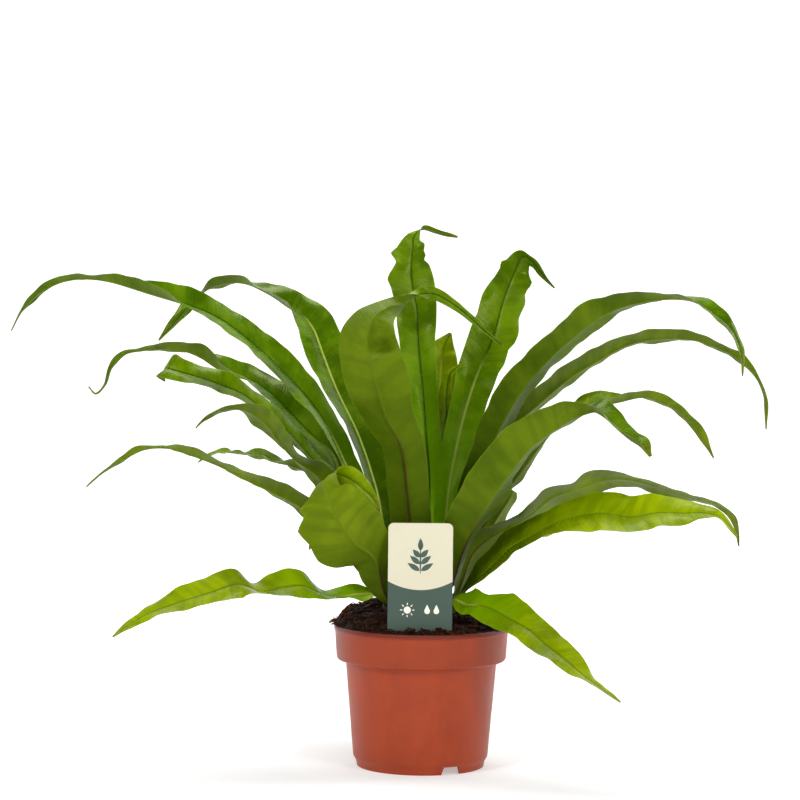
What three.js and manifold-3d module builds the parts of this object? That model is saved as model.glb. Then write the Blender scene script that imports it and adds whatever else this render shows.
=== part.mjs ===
// A bird's nest fern with narrow waved fronds, growing in a plastic nursery pot.
// Millimetres, +Z up. The origin is the middle of the pot's underside, the front is -Y.

import * as THREE from "three";
import { mergeVertices } from "three/addons/utils/BufferGeometryUtils.js";
import Module from "manifold-3d";

const wasm = await Module();
wasm.setup();

// Driving sizes of the pot
const RIM_RADIUS = 60;
const POT_HEIGHT = 97;
const COLLAR_BOTTOM = 74;
const COLLAR_RADIUS = 58.1;
const BODY_TOP_RADIUS = 51.8;
const BODY_FOOT_RADIUS = 46.2;
const FOOT_RADIUS = 43.6;
const FOOT_HEIGHT = 4;
const WALL = 1.3;
const BEAD_HEIGHT = 3.2;
const BEAD_OUT = 0.6;
const FLOOR_UNDERSIDE = 5.5;
const FLOOR_THICKNESS = 1.8;
const PAD_RADIUS = 17;
const FOOT_FLARE = 0.7;
const FOOT_STEP = 3;
const COLLAR_ROUND = 0.6;
const RIM_ROUND = 0.8;
const LIP_ROUND = 0.6;
const LIP_DEPTH = 2;
const COLLAR_SHELF = 2;
const CORNER_SLOPE = 1;
const POT_SIDES = 44;
const FOOT_NOTCHES = 3;
const NOTCH_TOP_WIDTH = 11.5;
const NOTCH_FOOT_WIDTH = 14;
const NOTCH_HEIGHT = 5.5;
const NOTCH_DEPTH = 8;
const FIRST_NOTCH_ANGLE = 298;
const DRAIN_HOLES = 8;
const DRAIN_RADIUS = 4;
const DRAIN_RING = 34;
const DRAIN_SIDES = 12;

// Clearance kept between pieces that touch, and how far a cutter runs past what it cuts
const GAP = 0.3;
const CUT_PAST = 1;

// Driving sizes of the soil
const SOIL_EDGE_Z = 95.2;
const SOIL_RISE_BACK = 15.5;
const SOIL_RISE_FRONT = 10;
const SOIL_STEEPNESS_BACK = 5;
const SOIL_STEEPNESS_FRONT = 2.6;
const SOIL_STEEPNESS_LEFT = 8;
const SOIL_DIP = 2;
const SOIL_DIP_RADIUS = 44;
const SOIL_LUMP = 0.9;
const SOIL_SHAKE = 0.8;
const SOIL_SIDES = 40;
const SOIL_RINGS = [56, 53, 49, 44, 37, 30, 20];
const SEAT_LENGTH = 60;

// Driving sizes of the crown that the fronds grow from
const CROWN_RADIUS = 27;
const CROWN_BOTTOM = 98;
const CROWN_EDGE_Z = 110;
const CROWN_TOP_Z = 121;
const CROWN_SIDES = 20;
const CROWN_BEVEL = 2;
const CROWN_SHOULDER_RADIUS = 16.7;
const CROWN_SHOULDER_Z = 117.5;
const CROWN_CAP_RADIUS = 8.1;
const SOCKET_RADIUS = 3.6;
const SOCKET_LENGTH = 16;
const SOCKET_SIDES = 8;

// Driving sizes of the plant tag
const TAG_WIDTH = 43.4;
const TAG_TOP_Z = 171;
const TAG_SHOULDER_Z = 92;
const TAG_POINT_Z = 55;
const TAG_CENTRE_X = -1.6;
const TAG_Y = -46.4;
const TAG_THICKNESS = 0.8;
const TAG_CORNER = 3.5;
const TAG_POINT_HALF = 3;

// Driving sizes that all fronds share
const BLADE_MID = 0.95;
const BLADE_EDGE = 0.65;
const STEM_RIB = 1.7;
const RIB_FADE = 1.5;
const FOOT_WIDTH = 4.4;
const FOOT_SHARE = 0.3;
const FOOT_FOLD = 10;
const FOOT_FOLD_FADE = 4;
const WAVE_FULL_ALONG = 1 / 3;
const WAVE_FULL_HALF_WIDTH = 6;
const MARGIN_SHIFT = 1.9;
const ACROSS = [-1, -0.5, 0, 0.5, 1];
const SAMPLES_PER_SEGMENT = 1.6;

// Each frond grows from a point on the crown and runs through hand-set stations.
// A station is [x, y, z, blade width, roll in degrees]. "heading" is the compass way
// that the frond leans at its foot, from +X round towards +Y. "fold" is how steeply the
// two halves stand up from the midrib. "wave" is [height, number of waves, phase]. A lobe
// is [place along, side, how far the margin juts out, reach along]. A crease is [place along,
// more fold in degrees, reach along]: there the blade is a deeper channel. A hollow is
// [place along, place across, depth, short reach before, long reach after, reach across].
// "samples" is set where the form changes so fast that a segment needs more samples.
const FRONDS = [
  {
    name: "frond_far_left", heading: 178, fold: 14, wave: [1.4, 5, 0.4],
    creases: [[0.62, 30, 0.16]],
    stations: [
      [-10, 1, 112, 4, 0], [-31, 2, 155, 15, -15], [-48, 0, 201, 22, -30], [-67, -1, 240, 27, -28],
      [-89, -2, 267, 29, -30], [-114, -3, 290, 29, -32], [-141, -4, 310, 27, -29],
      [-167, -5, 323, 24, -20], [-194, -6, 331, 20, 2], [-221, -7, 334, 15, 20],
      [-246, -8, 331, 13, 28], [-263, -9, 322, 9, 28], [-274, -10, 310, 6, 26],
      [-281, -10, 296, 1.6, 24],
    ],
  },
  {
    name: "frond_upper_left", heading: 140, fold: 14, wave: [1.6, 4, 1.2],
    creases: [[0.58, 26, 0.12]],
    stations: [
      [-7, 7, 114, 4, 0], [-22, 16, 150, 16, 0], [-30, 30, 190, 27, 0], [-43, 45, 227, 32, -3],
      [-58, 58, 256, 34, -6], [-69, 68, 281, 34, -14], [-76, 76, 298, 34, -16], [-85, 82, 313, 33, -13],
      [-99, 88, 323, 28, 0], [-117, 94, 328, 22, 14], [-132, 98, 331, 18, 32], [-151, 102, 328, 16, 26],
      [-165, 104, 318, 13, -20], [-177, 104, 303, 8, -50], [-190, 102, 287, 1.6, -50],
    ],
  },
  {
    name: "frond_left_curled", heading: 170, fold: 14, wave: [1.2, 5, 2.2],
    creases: [[0.52, 30, 0.14]],
    stations: [
      [-15, 6, 112, 4, 0], [-37, 9, 157, 11, -12], [-53, 13, 189, 20, -30], [-60, 17, 213, 28, -38],
      [-79, 21, 231, 29, -33], [-101, 26, 253, 28, -30], [-119, 30, 267, 27, -25],
      [-135, 33, 274, 22, -12], [-151, 36, 282, 20, 14], [-172, 39, 285, 15, 24],
      [-195, 41, 283, 11, 24], [-210, 42, 279, 7, 22], [-219, 43, 269, 5, 20], [-223, 43, 257, 4, 20],
      [-229, 43, 251, 3, 20], [-234, 43, 256, 1.6, 20],
    ],
  },
  {
    name: "frond_left_blunt", heading: 183, fold: 12, wave: [1, 5, 0],
    stations: [
      [-15, -1, 111, 4, 0], [-40, -3, 158, 10, -15], [-60, -3, 194, 19, -28], [-75, -3, 212, 20, -22],
      [-91, -3, 230, 21, -18], [-107, -3, 244, 24, -25], [-123, -4, 256, 23, -27],
      [-140, -5, 263, 24, -34], [-156, -6, 268, 23, -38], [-169, -6, 271, 20, -50],
      [-177, -3, 273, 22, -50], [-180, 5, 267, 9, -50], [-178, 10, 262, 1.8, -50],
    ],
  },
  {
    name: "frond_left_short", heading: 190, fold: 10, wave: [0.8, 4, 1],
    stations: [
      [-16, -8, 111, 4, 0], [-44, -13, 152, 10, 14], [-58, -16, 187, 19, 34], [-72, -18, 203, 24, 34],
      [-86, -20, 213, 22, 16], [-96, -21, 224, 24, 16], [-104, -22, 235, 27, 30],
      [-114, -24, 243, 27, 32], [-125, -26, 246, 11, 22], [-139, -28, 244, 10, 24],
      [-148, -29, 238, 6, 24], [-154, -30, 232, 1.6, 24],
    ],
  },
  {
    name: "frond_left_wavy", heading: 176, fold: 8, wave: [1, 6, 0.5],
    stations: [
      [-21, 4, 108, 4, 0], [-43, 5, 148, 9, 10], [-63, 6, 181, 18, 34], [-79, 6, 202, 20, 26],
      [-92, 6, 207, 18, 22], [-103, 7, 209, 16, -14], [-110, 7, 213, 15, -16], [-120, 7, 213, 14, 0],
      [-131, 7, 214, 12, 10], [-139, 8, 214, 10, -10], [-147, 8, 212, 7, -12], [-155, 8, 206, 1.6, -12],
    ],
  },
  {
    name: "frond_left_low", heading: 197, fold: 12, wave: [1.1, 5, 0.8],
    stations: [
      [-20, -7, 108, 4, 0], [-44, -19, 140, 11, 12], [-61, -27, 162, 19, 24], [-80, -34, 182, 24, 30],
      [-100, -42, 193, 25, 23], [-118, -48, 202, 24, 12], [-136, -53, 211, 22, 12],
      [-152, -58, 217, 19, 14], [-168, -62, 222, 16, 14], [-185, -66, 221, 12, 20],
      [-199, -68, 214, 9, 26], [-211, -70, 206, 6, 26], [-223, -71, 195, 1.6, 26],
    ],
  },
  {
    name: "frond_lower_left", heading: 208, fold: 8, wave: [1.2, 4, 0.2],
    stations: [
      [-17, -12, 109, 4, 0], [-31, -18, 120, 7, -20], [-41, -22, 121, 16, -40],
      [-53, -29, 121, 22, -20], [-65, -35, 122, 26, -14], [-79, -42, 129, 28, -40],
      [-94, -50, 129, 29, -28], [-108, -56, 127, 29, -16], [-122, -62, 132, 29, -34],
      [-141, -70, 127, 27, -28], [-163, -76, 120, 22, -31], [-181, -80, 113, 14, -29],
      [-194, -82, 105, 7, -28], [-204, -83, 97, 1.6, -28],
    ],
  },
  {
    name: "frond_front_short", heading: 236, fold: 9, wave: [1.2, 3, 1.6], samples: 3,
    lobes: [
      [0.39, -1, 4, 0.05], [0.47, -1, 3.5, 0.04], [0.5, -1, -3, 0.03], [0.54, -1, 2, 0.04],
      [0.62, -1, -5, 0.06],
    ],
    stations: [
      [-15, -15, 109, 4, 20], [-24, -24, 119, 13, 32], [-29, -29, 133, 25, 46], [-33, -37, 148, 31, 44],
      [-46, -47, 160, 50, 42], [-57, -57, 175, 51, 41], [-62, -64, 188, 40, 42],
      [-65, -64, 197, 26, 10], [-60, -60, 203, 20, -40], [-52, -58, 202, 18, -75],
      [-44, -56, 197, 15, -85], [-36, -55, 190, 9, -85], [-29, -54, 181, 1.6, -85],
    ],
  },
  {
    name: "frond_front_centre", heading: 270, fold: 12, wave: [1.6, 3, 0.7], samples: 2.6,
    hollows: [[0.44, 0.4, 12, 0.026, 0.1, 0.62]],
    stations: [
      [-3, -14, 112, 4, 0], [-6, -17, 148, 26, -6], [-10, -22, 190, 30, -12], [-14, -27, 222, 32, -18],
      [-24, -31, 242, 37, -16], [-30, -35, 260, 44, -8], [-36, -37, 279, 43, -8],
      [-38, -35, 294, 40, -8], [-34, -29, 306, 31, -4], [-25, -21, 314, 17, 10],
      [-16, -12, 317, 12, 60], [-7, -3, 323, 10, 145], [6, 5, 324, 9, 205], [18, 11, 318, 8, 215],
      [31, 16, 308, 6, 220], [42, 19, 298, 4, 222], [53, 22, 289, 1.6, 222],
    ],
  },
  {
    name: "frond_tall_centre", heading: 95, fold: 12, wave: [1.6, 6, 0.4], samples: 3,
    lobes: [
      [0.5, 1, -1.7, 0.06], [0.55, 1, 2, 0.025], [0.6, 1, -2, 0.03], [0.635, 1, 3.5, 0.025],
      [0.61, -1, -2.8, 0.02], [0.65, -1, -2.2, 0.04],
    ],
    stations: [
      [2, 8, 115, 4, 0], [4, 14, 154, 15, 0], [4, 24, 195, 21, -16], [1, 31, 229, 23, -20],
      [-2, 35, 263, 24, -20], [-5, 38, 291, 26, -20], [-6, 43, 312, 31, -16], [-9, 47, 331, 32, -10],
      [-10, 50, 345, 26, -14], [-9, 53, 356, 21, -16], [-8, 56, 363, 9, -20], [-2, 59, 369, 6, -75],
      [7, 61, 367, 5, -110], [15, 63, 365, 3.5, -120], [23, 64, 363, 1.6, -120],
    ],
  },
  {
    name: "frond_tall_right", heading: 65, fold: 12, wave: [1.6, 6, 1.5], samples: 3,
    lobes: [
      [0.43, -1, -2.6, 0.07], [0.485, -1, -4, 0.035], [0.55, -1, -3, 0.05], [0.62, -1, -2, 0.03],
      [0.68, -1, 3, 0.04], [0.54, 1, -1.3, 0.04], [0.64, 1, -1.2, 0.05], [0.705, 1, 2, 0.03],
    ],
    stations: [
      [9, 3, 115, 4, 0], [15, 10, 154, 15, 20], [18, 17, 185, 21, 40], [23, 23, 213, 25, 45],
      [31, 32, 246, 28, 45], [40, 42, 273, 32, 38], [49, 50, 294, 36, 30], [55, 57, 316, 33, 30],
      [61, 62, 332, 27, 34], [65, 65, 342, 20, 40], [69, 65, 349, 13, 50], [75, 62, 346, 9, 50],
      [81, 58, 339, 6, 50], [91, 52, 328, 1.6, 50],
    ],
  },
  {
    name: "frond_back_small", heading: 85, fold: 14, wave: [1.2, 4, 0],
    stations: [
      [3, 15, 111, 4, 0], [5, 34, 166, 12, 0], [9, 48, 207, 21, 0], [11, 58, 241, 26, 0],
      [12, 68, 268, 26, 0], [14, 74, 285, 18, 0], [19, 78, 295, 2, 0],
    ],
  },
  {
    name: "frond_young_curl", heading: 60, fold: 16, wave: [0.6, 3, 0],
    stations: [
      [11, 14, 110, 3.6, 0], [16, 28, 180, 6, 0], [15, 34, 220, 11, 0], [15, 35, 250, 12, 0],
      [16, 33, 261, 9, 0], [18, 30, 268, 5, 0], [23, 28, 273, 3, 0], [29, 27, 275, 1.6, 0],
    ],
  },
  {
    name: "frond_right_long", heading: -16, fold: 14, wave: [1.2, 5, 0.9],
    stations: [
      [9, -6, 114, 4, 0], [20, -8, 152, 12, -8], [27, -11, 182, 22, -16], [36, -15, 207, 32, -20],
      [47, -20, 234, 34, -24], [62, -25, 261, 35, -27], [80, -31, 283, 37, -29],
      [97, -36, 299, 34, -27], [115, -41, 313, 32, -30], [134, -46, 321, 28, -26],
      [156, -50, 325, 23, -14], [176, -53, 324, 20, 12], [191, -55, 316, 16, 24],
      [204, -56, 304, 12, 26], [210, -56, 289, 9, 28], [211, -56, 272, 1.8, 25],
    ],
  },
  {
    name: "frond_right_long_lower", heading: 0, fold: 12, wave: [1, 6, 0.2],
    stations: [
      [14, 1, 111, 4, 0], [20, 2, 152, 10, -8], [28, 3, 190, 18, -20], [42, 3, 218, 24, -28],
      [62, 3, 239, 28, -32], [80, 2, 255, 30, -34], [99, 1, 271, 28, -30], [119, -1, 283, 26, -27],
      [138, -3, 293, 25, -28], [160, -5, 297, 21, -26], [183, -7, 296, 18, -27],
      [201, -8, 290, 14, -29], [216, -9, 281, 10, -30], [226, -10, 270, 7, -30],
      [232, -10, 257, 5, -30], [233, -10, 234, 1.6, -30],
    ],
  },
  {
    name: "frond_front_right_broad", heading: -40, fold: 26, wave: [1.3, 4, 2],
    lobes: [[0.21, 1, -7, 0.07], [0.37, 1, -6, 0.05], [0.43, 1, -8, 0.08], [0.51, 1, -4, 0.05]],
    stations: [
      [8, -15, 110, 4, 0], [16, -20, 128, 20, -12], [25, -28, 158, 34, -24], [34, -37, 179, 42, -24],
      [43, -46, 196, 45, -22], [54, -55, 213, 45, -20], [68, -64, 231, 42, -20],
      [85, -72, 244, 39, -17], [99, -78, 252, 33, -6], [111, -83, 255, 29, 18], [120, -87, 250, 25, 16],
      [128, -91, 242, 22, 15], [136, -94, 235, 21, 16], [142, -96, 230, 17, 18], [147, -99, 221, 4, 14],
    ],
  },
  {
    name: "frond_right_behind", heading: -6, fold: 12, wave: [1, 5, 1.1], creases: [[0.64, 20, 0.1]],
    stations: [
      [20, 5, 108, 4, 0], [28, 2, 148, 10, -8], [42, -4, 172, 18, -18], [54, -8, 192, 25, -26],
      [66, -12, 209, 29, -29], [78, -15, 226, 30, -24], [91, -18, 241, 29, -2],
      [109, -20, 253, 24, 16], [128, -22, 257, 20, 0], [147, -24, 258, 18, -20],
      [163, -25, 253, 15, -30], [175, -25, 246, 12, -38], [185, -25, 235, 9, -42],
      [196, -25, 215, 1.6, -42],
    ],
  },
  {
    name: "frond_right_wavy", heading: -12, fold: -4, wave: [1.3, 5, 0.6],
    lobes: [[0.36, -1, -3, 0.04], [0.44, -1, 2, 0.04], [0.51, -1, -3, 0.035], [0.56, -1, 3, 0.04]],
    stations: [
      [19, -6, 107, 4, 0], [27, -4, 129, 19, -24], [34, -5, 147, 27, -38], [46, -8, 158, 28, -38],
      [60, -13, 166, 30, -26], [73, -19, 174, 29, -16], [87, -22, 186, 32, -28],
      [102, -25, 192, 31, -27], [118, -28, 198, 29, -28], [133, -30, 200, 26, -24],
      [151, -33, 197, 22, -24], [169, -36, 191, 17, -17], [186, -38, 187, 15, -22],
      [199, -40, 184, 11, -22], [208, -41, 176, 8, -24], [212, -42, 157, 1.6, -24],
    ],
  },
  {
    name: "frond_right_yellow", heading: -24, fold: 8, wave: [1.3, 4, 2.4], lobes: [[0.3, 1, 7, 0.15]],
    stations: [
      [18, -13, 107, 4, 0], [26, -17, 122, 13, 20], [35, -24, 132, 20, 32], [46, -28, 143, 25, 34],
      [57, -33, 155, 28, 36], [71, -38, 164, 31, 34], [87, -43, 173, 29, 31], [104, -48, 179, 35, 40],
      [121, -52, 181, 38, 44], [137, -56, 179, 35, 43], [155, -59, 182, 29, 43],
      [172, -62, 182, 25, 41], [186, -64, 182, 17, 34], [197, -65, 179, 10, 30],
      [208, -65, 166, 1.6, 30],
    ],
  },
  {
    name: "frond_lower_right", heading: 318, fold: 8, wave: [1.1, 4, 1],
    lobes: [[0.25, 1, 3, 0.05], [0.33, 1, -3, 0.04], [0.42, 1, 3, 0.06]],
    stations: [
      [14, -21, 108, 4, 0], [21, -27, 118, 9, 30], [30, -32, 116, 22, 40], [39, -38, 117, 27, 32],
      [49, -46, 114, 31, 40], [60, -55, 109, 31, 34], [71, -64, 104, 30, 20], [82, -74, 95, 28, 26],
      [94, -84, 87, 24, 20], [105, -93, 78, 16, 10], [116, -100, 70, 10, 6], [129, -107, 61, 1.6, 4],
    ],
  },
  {
    name: "frond_right_pale", heading: 12, fold: 14, wave: [1, 3, 0],
    stations: [
      [19, 13, 107, 4, 0], [34, 12, 140, 9, -20], [43, 12, 158, 16, -50], [50, 12, 171, 21, -60],
      [58, 12, 183, 18, -60], [62, 12, 189, 8, -60],
    ],
  },
  {
    name: "frond_back_right_low", heading: 32, fold: 12, wave: [2.4, 5, 0.5],
    stations: [
      [14, 15, 108, 4, 0], [36, 30, 128, 10, 0], [60, 48, 145, 18, 0], [88, 68, 158, 23, 0],
      [118, 88, 166, 24, 0], [146, 106, 168, 19, 0], [170, 120, 167, 12, 0], [184, 128, 166, 1.8, 0],
    ],
  },
  {
    name: "frond_back_right", heading: 72, fold: 13, wave: [2.2, 5, 1.4],
    stations: [
      [7, 18, 108, 4, 0], [17, 40, 148, 12, 0], [27, 66, 184, 23, 4], [37, 98, 206, 29, 6],
      [45, 128, 208, 27, 4], [51, 154, 195, 20, 0], [55, 174, 172, 11, 0], [56, 186, 150, 1.8, 0],
    ],
  },
  {
    name: "frond_back_left", heading: 104, fold: 13, wave: [2.2, 5, 2.3],
    stations: [
      [-5, 22, 107, 4, 0], [-9, 42, 152, 12, 0], [-13, 72, 193, 24, 0], [-18, 105, 214, 30, -4],
      [-22, 138, 213, 28, -4], [-26, 166, 196, 21, 0], [-29, 186, 170, 12, 0], [-30, 196, 148, 1.8, 0],
    ],
  },
  {
    name: "frond_back_left_low", heading: 122, fold: 12, wave: [2.4, 5, 0.1],
    stations: [
      [-11, 15, 108, 4, 0], [-23, 36, 136, 11, 0], [-34, 62, 162, 23, -4], [-48, 92, 175, 28, -6],
      [-62, 118, 172, 25, -4], [-74, 140, 155, 16, 0], [-82, 155, 132, 1.8, 0],
    ],
  },
  {
    name: "frond_left_back_short", heading: 134, fold: 12, wave: [1.4, 3, 0.6],
    stations: [
      [-16, 12, 108, 4, 0], [-30, 26, 129, 10, 0], [-41, 41, 143, 20, 0], [-51, 56, 151, 20, 0],
      [-60, 70, 150, 13, 0], [-67, 81, 143, 1.8, 0],
    ],
  },
];

// Materials, one for each colour that shows
const GREEN = { color: 0x5a8a0a, roughness: 0.36, metalness: 0 };
const PALE_GREEN = { color: 0x8fb01a, roughness: 0.4, metalness: 0 };
const TERRACOTTA = { color: 0xac4c30, roughness: 0.5, metalness: 0 };
const PEAT = { color: 0x2a1a10, roughness: 0.95, metalness: 0 };
const SCALE_BROWN = { color: 0x3a2415, roughness: 0.9, metalness: 0 };
const CREAM_CARD = { color: 0xeee7d2, roughness: 0.45, metalness: 0 };
const PALE_FRONDS = ["frond_lower_left", "frond_lower_right", "frond_right_yellow"];

// A small seeded random number maker, so the soil is the same each time
function seededRandom(seed) {
  let state = seed;
  return function next() {
    state = (state * 16807) % 2147483647;
    return state / 2147483647;
  };
}

function degrees(angle) {
  return (angle * Math.PI) / 180;
}

// Turns a three.js geometry into a solid that can be cut and joined
function toSolid(geometry) {
  const bare = geometry.clone();
  bare.deleteAttribute("normal");
  bare.deleteAttribute("uv");
  const merged = mergeVertices(bare, 1e-4);
  return new wasm.Manifold(new wasm.Mesh({
    numProp: 3,
    vertProperties: Float32Array.from(merged.attributes.position.array),
    triVerts: Uint32Array.from(merged.index.array),
  }));
}

function toGeometry(solid) {
  const mesh = solid.getMesh();
  const geometry = new THREE.BufferGeometry();
  geometry.setAttribute("position", new THREE.BufferAttribute(mesh.vertProperties, 3));
  geometry.setIndex(new THREE.BufferAttribute(mesh.triVerts, 1));
  return geometry;
}

// A surface of revolution about Z from [radius, height] points that start and end on the axis
function turned(profile, sides) {
  const points = profile.map(([radius, height]) => new THREE.Vector2(radius, height));
  const geometry = new THREE.LatheGeometry(points, sides);
  geometry.rotateX(Math.PI / 2);
  return geometry;
}

// A round bar from one point along a direction, for holes
function bar(start, direction, length, radius, sides) {
  const geometry = new THREE.CylinderGeometry(radius, radius, length, sides);
  const turn = new THREE.Quaternion().setFromUnitVectors(new THREE.Vector3(0, 1, 0), direction);
  const middle = start.clone().addScaledVector(direction, length / 2);
  geometry.applyQuaternion(turn);
  geometry.translate(middle.x, middle.y, middle.z);
  return toSolid(geometry);
}

// Pot: one moulded shell with a collar, a beaded rim and a notched foot

function potOutside() {
  return [
    [0, 0], [PAD_RADIUS, 0], [PAD_RADIUS + CORNER_SLOPE, FLOOR_UNDERSIDE],
    [FOOT_RADIUS - WALL, FLOOR_UNDERSIDE], [FOOT_RADIUS - WALL, 0], [FOOT_RADIUS, 0],
    [FOOT_RADIUS + FOOT_FLARE, FOOT_HEIGHT], [BODY_FOOT_RADIUS, FOOT_HEIGHT + FOOT_STEP],
    [BODY_TOP_RADIUS, COLLAR_BOTTOM - 2.5 * COLLAR_ROUND],
    [COLLAR_RADIUS - CORNER_SLOPE, COLLAR_BOTTOM - COLLAR_ROUND],
    [COLLAR_RADIUS, COLLAR_BOTTOM + COLLAR_ROUND],
    [RIM_RADIUS - BEAD_OUT, POT_HEIGHT - BEAD_HEIGHT - BEAD_OUT], [RIM_RADIUS, POT_HEIGHT - BEAD_HEIGHT],
    [RIM_RADIUS, POT_HEIGHT - RIM_ROUND], [RIM_RADIUS - RIM_ROUND, POT_HEIGHT],
  ];
}

function potInside() {
  const floorTop = FLOOR_UNDERSIDE + FLOOR_THICKNESS;
  return [
    [RIM_RADIUS - WALL - LIP_ROUND, POT_HEIGHT],
    [RIM_RADIUS - WALL - 1.5 * LIP_ROUND, POT_HEIGHT - LIP_DEPTH],
    [COLLAR_RADIUS - WALL, COLLAR_BOTTOM + COLLAR_SHELF], [BODY_TOP_RADIUS - WALL, COLLAR_BOTTOM],
    [BODY_FOOT_RADIUS - WALL, floorTop + LIP_ROUND],
    [BODY_FOOT_RADIUS - WALL - CORNER_SLOPE, floorTop], [0, floorTop],
  ];
}

// A notch in the foot ring, with sloping sides and its wide end down
function notchCutter(angle) {
  const flare = (NOTCH_FOOT_WIDTH - NOTCH_TOP_WIDTH) / 2;
  const top = NOTCH_TOP_WIDTH / 2;
  const shape = new THREE.Shape();
  shape.moveTo(-top, NOTCH_HEIGHT);
  shape.lineTo(-top - 2 * flare, -NOTCH_HEIGHT);
  shape.lineTo(top + 2 * flare, -NOTCH_HEIGHT);
  shape.lineTo(top, NOTCH_HEIGHT);
  shape.closePath();
  const geometry = new THREE.ExtrudeGeometry(shape, { depth: NOTCH_DEPTH, bevelEnabled: false });
  geometry.translate(0, 0, -NOTCH_DEPTH / 2);
  geometry.rotateX(Math.PI / 2);
  geometry.rotateZ(Math.PI / 2);
  geometry.translate(FOOT_RADIUS, 0, 0);
  geometry.rotateZ(angle);
  return toSolid(geometry);
}

function makePot() {
  let pot = toSolid(turned([...potOutside(), ...potInside()], POT_SIDES));
  const up = new THREE.Vector3(0, 0, 1);
  for (let i = 0; i < FOOT_NOTCHES; i += 1) {
    pot = pot.subtract(notchCutter(degrees(FIRST_NOTCH_ANGLE + (i * 360) / FOOT_NOTCHES)));
  }
  for (let i = 0; i < DRAIN_HOLES; i += 1) {
    const angle = degrees(((i + 0.5) * 360) / DRAIN_HOLES);
    const foot = new THREE.Vector3(Math.cos(angle), Math.sin(angle), 0).multiplyScalar(DRAIN_RING);
    foot.z = FLOOR_UNDERSIDE - CUT_PAST;
    pot = pot.subtract(bar(foot, up, FLOOR_THICKNESS + 2 * CUT_PAST, DRAIN_RADIUS, DRAIN_SIDES));
  }
  return toGeometry(pot);
}

// Soil: fills the pot and stands up as a rough mound, with plain holes for what stands in it

// The mound rises steeply at the left and dips in front of the tag
function soilHeight(radius, angle) {
  const front = (1 - Math.sin(angle)) / 2;
  const left = Math.max(0, -Math.cos(angle));
  const rise = SOIL_RISE_BACK + (SOIL_RISE_FRONT - SOIL_RISE_BACK) * front;
  const steepness = SOIL_STEEPNESS_BACK + (SOIL_STEEPNESS_FRONT - SOIL_STEEPNESS_BACK) * front
    + SOIL_STEEPNESS_LEFT * left ** 2;
  const dip = SOIL_DIP * front ** 8 * Math.min(1, radius / SOIL_DIP_RADIUS) ** 4;
  return SOIL_EDGE_Z + rise * (1 - (radius / (RIM_RADIUS - WALL)) ** steepness) - dip;
}

function makeSoilBody() {
  const floorTop = FLOOR_UNDERSIDE + FLOOR_THICKNESS + GAP;
  const inner = WALL + GAP;
  const random = seededRandom(41);
  const positions = [];
  const addRing = (radiusAt, heightAt) => Array.from({ length: SOIL_SIDES }, (unused, i) => {
    const angle = (i * 2 * Math.PI) / SOIL_SIDES;
    const radius = radiusAt();
    positions.push(radius * Math.cos(angle), radius * Math.sin(angle), heightAt(angle));
    return positions.length / 3 - 1;
  });
  const sides = [
    [BODY_FOOT_RADIUS - inner - CORNER_SLOPE, floorTop], [BODY_FOOT_RADIUS - inner, floorTop + LIP_ROUND],
    [BODY_TOP_RADIUS - inner, COLLAR_BOTTOM], [COLLAR_RADIUS - inner, COLLAR_BOTTOM + COLLAR_SHELF + GAP],
    [RIM_RADIUS - inner - 2 * LIP_ROUND, SOIL_EDGE_Z],
  ];
  const wall = sides.map(([radius, height]) => addRing(() => radius, () => height));
  const mound = SOIL_RINGS.map((ring) => addRing(
    () => ring + (random() - 0.5) * 2 * SOIL_SHAKE,
    (angle) => soilHeight(ring, angle) + (random() - 0.5) * 2 * SOIL_LUMP));
  const rings = [...wall, ...mound];
  positions.push(0, 0, floorTop, 0, 0, soilHeight(0, 0));
  const top = positions.length / 3 - 1;
  const bottom = top - 1;
  const last = rings[rings.length - 1];
  const triangles = [];
  for (let i = 0; i < SOIL_SIDES; i += 1) {
    const j = (i + 1) % SOIL_SIDES;
    triangles.push(bottom, rings[0][j], rings[0][i]);
    for (let k = 0; k + 1 < rings.length; k += 1) {
      const [a, b, c, d] = [rings[k][i], rings[k][j], rings[k + 1][j], rings[k + 1][i]];
      triangles.push(a, b, c, a, c, d);
    }
    triangles.push(last[i], last[j], top);
  }
  const geometry = new THREE.BufferGeometry();
  geometry.setAttribute("position", new THREE.Float32BufferAttribute(positions, 3));
  geometry.setIndex(triangles);
  return toSolid(geometry);
}

function makeSoil() {
  const up = new THREE.Vector3(0, 0, 1);
  const foot = new THREE.Vector3(0, 0, CROWN_BOTTOM - GAP);
  const seat = bar(foot, up, SEAT_LENGTH, CROWN_RADIUS + GAP, CROWN_SIDES);
  return toGeometry(makeSoilBody().subtract(seat).subtract(toSolid(tagOutline(GAP))));
}

// Crown: the short scaly rootstock, with a plain socket for each frond

function makeCrown() {
  const profile = [
    [0, CROWN_BOTTOM], [CROWN_RADIUS, CROWN_BOTTOM], [CROWN_RADIUS, CROWN_EDGE_Z - CROWN_BEVEL],
    [CROWN_RADIUS - CROWN_BEVEL, CROWN_EDGE_Z], [CROWN_SHOULDER_RADIUS, CROWN_SHOULDER_Z],
    [CROWN_CAP_RADIUS, CROWN_TOP_Z - CROWN_BEVEL / 2], [0, CROWN_TOP_Z],
  ];
  let crown = toSolid(turned(profile, CROWN_SIDES));
  for (const frond of FRONDS) {
    const path = frondCentre(frond).map((station) => station.point);
    const direction = path[1].clone().sub(path[0]).normalize();
    const start = path[0].clone().addScaledVector(direction, -GAP);
    crown = crown.subtract(bar(start, direction, SOCKET_LENGTH, SOCKET_RADIUS, SOCKET_SIDES));
  }
  return toGeometry(crown);
}

// Plant tag: a flat card with round upper corners and a tapered end pushed into the soil

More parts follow.
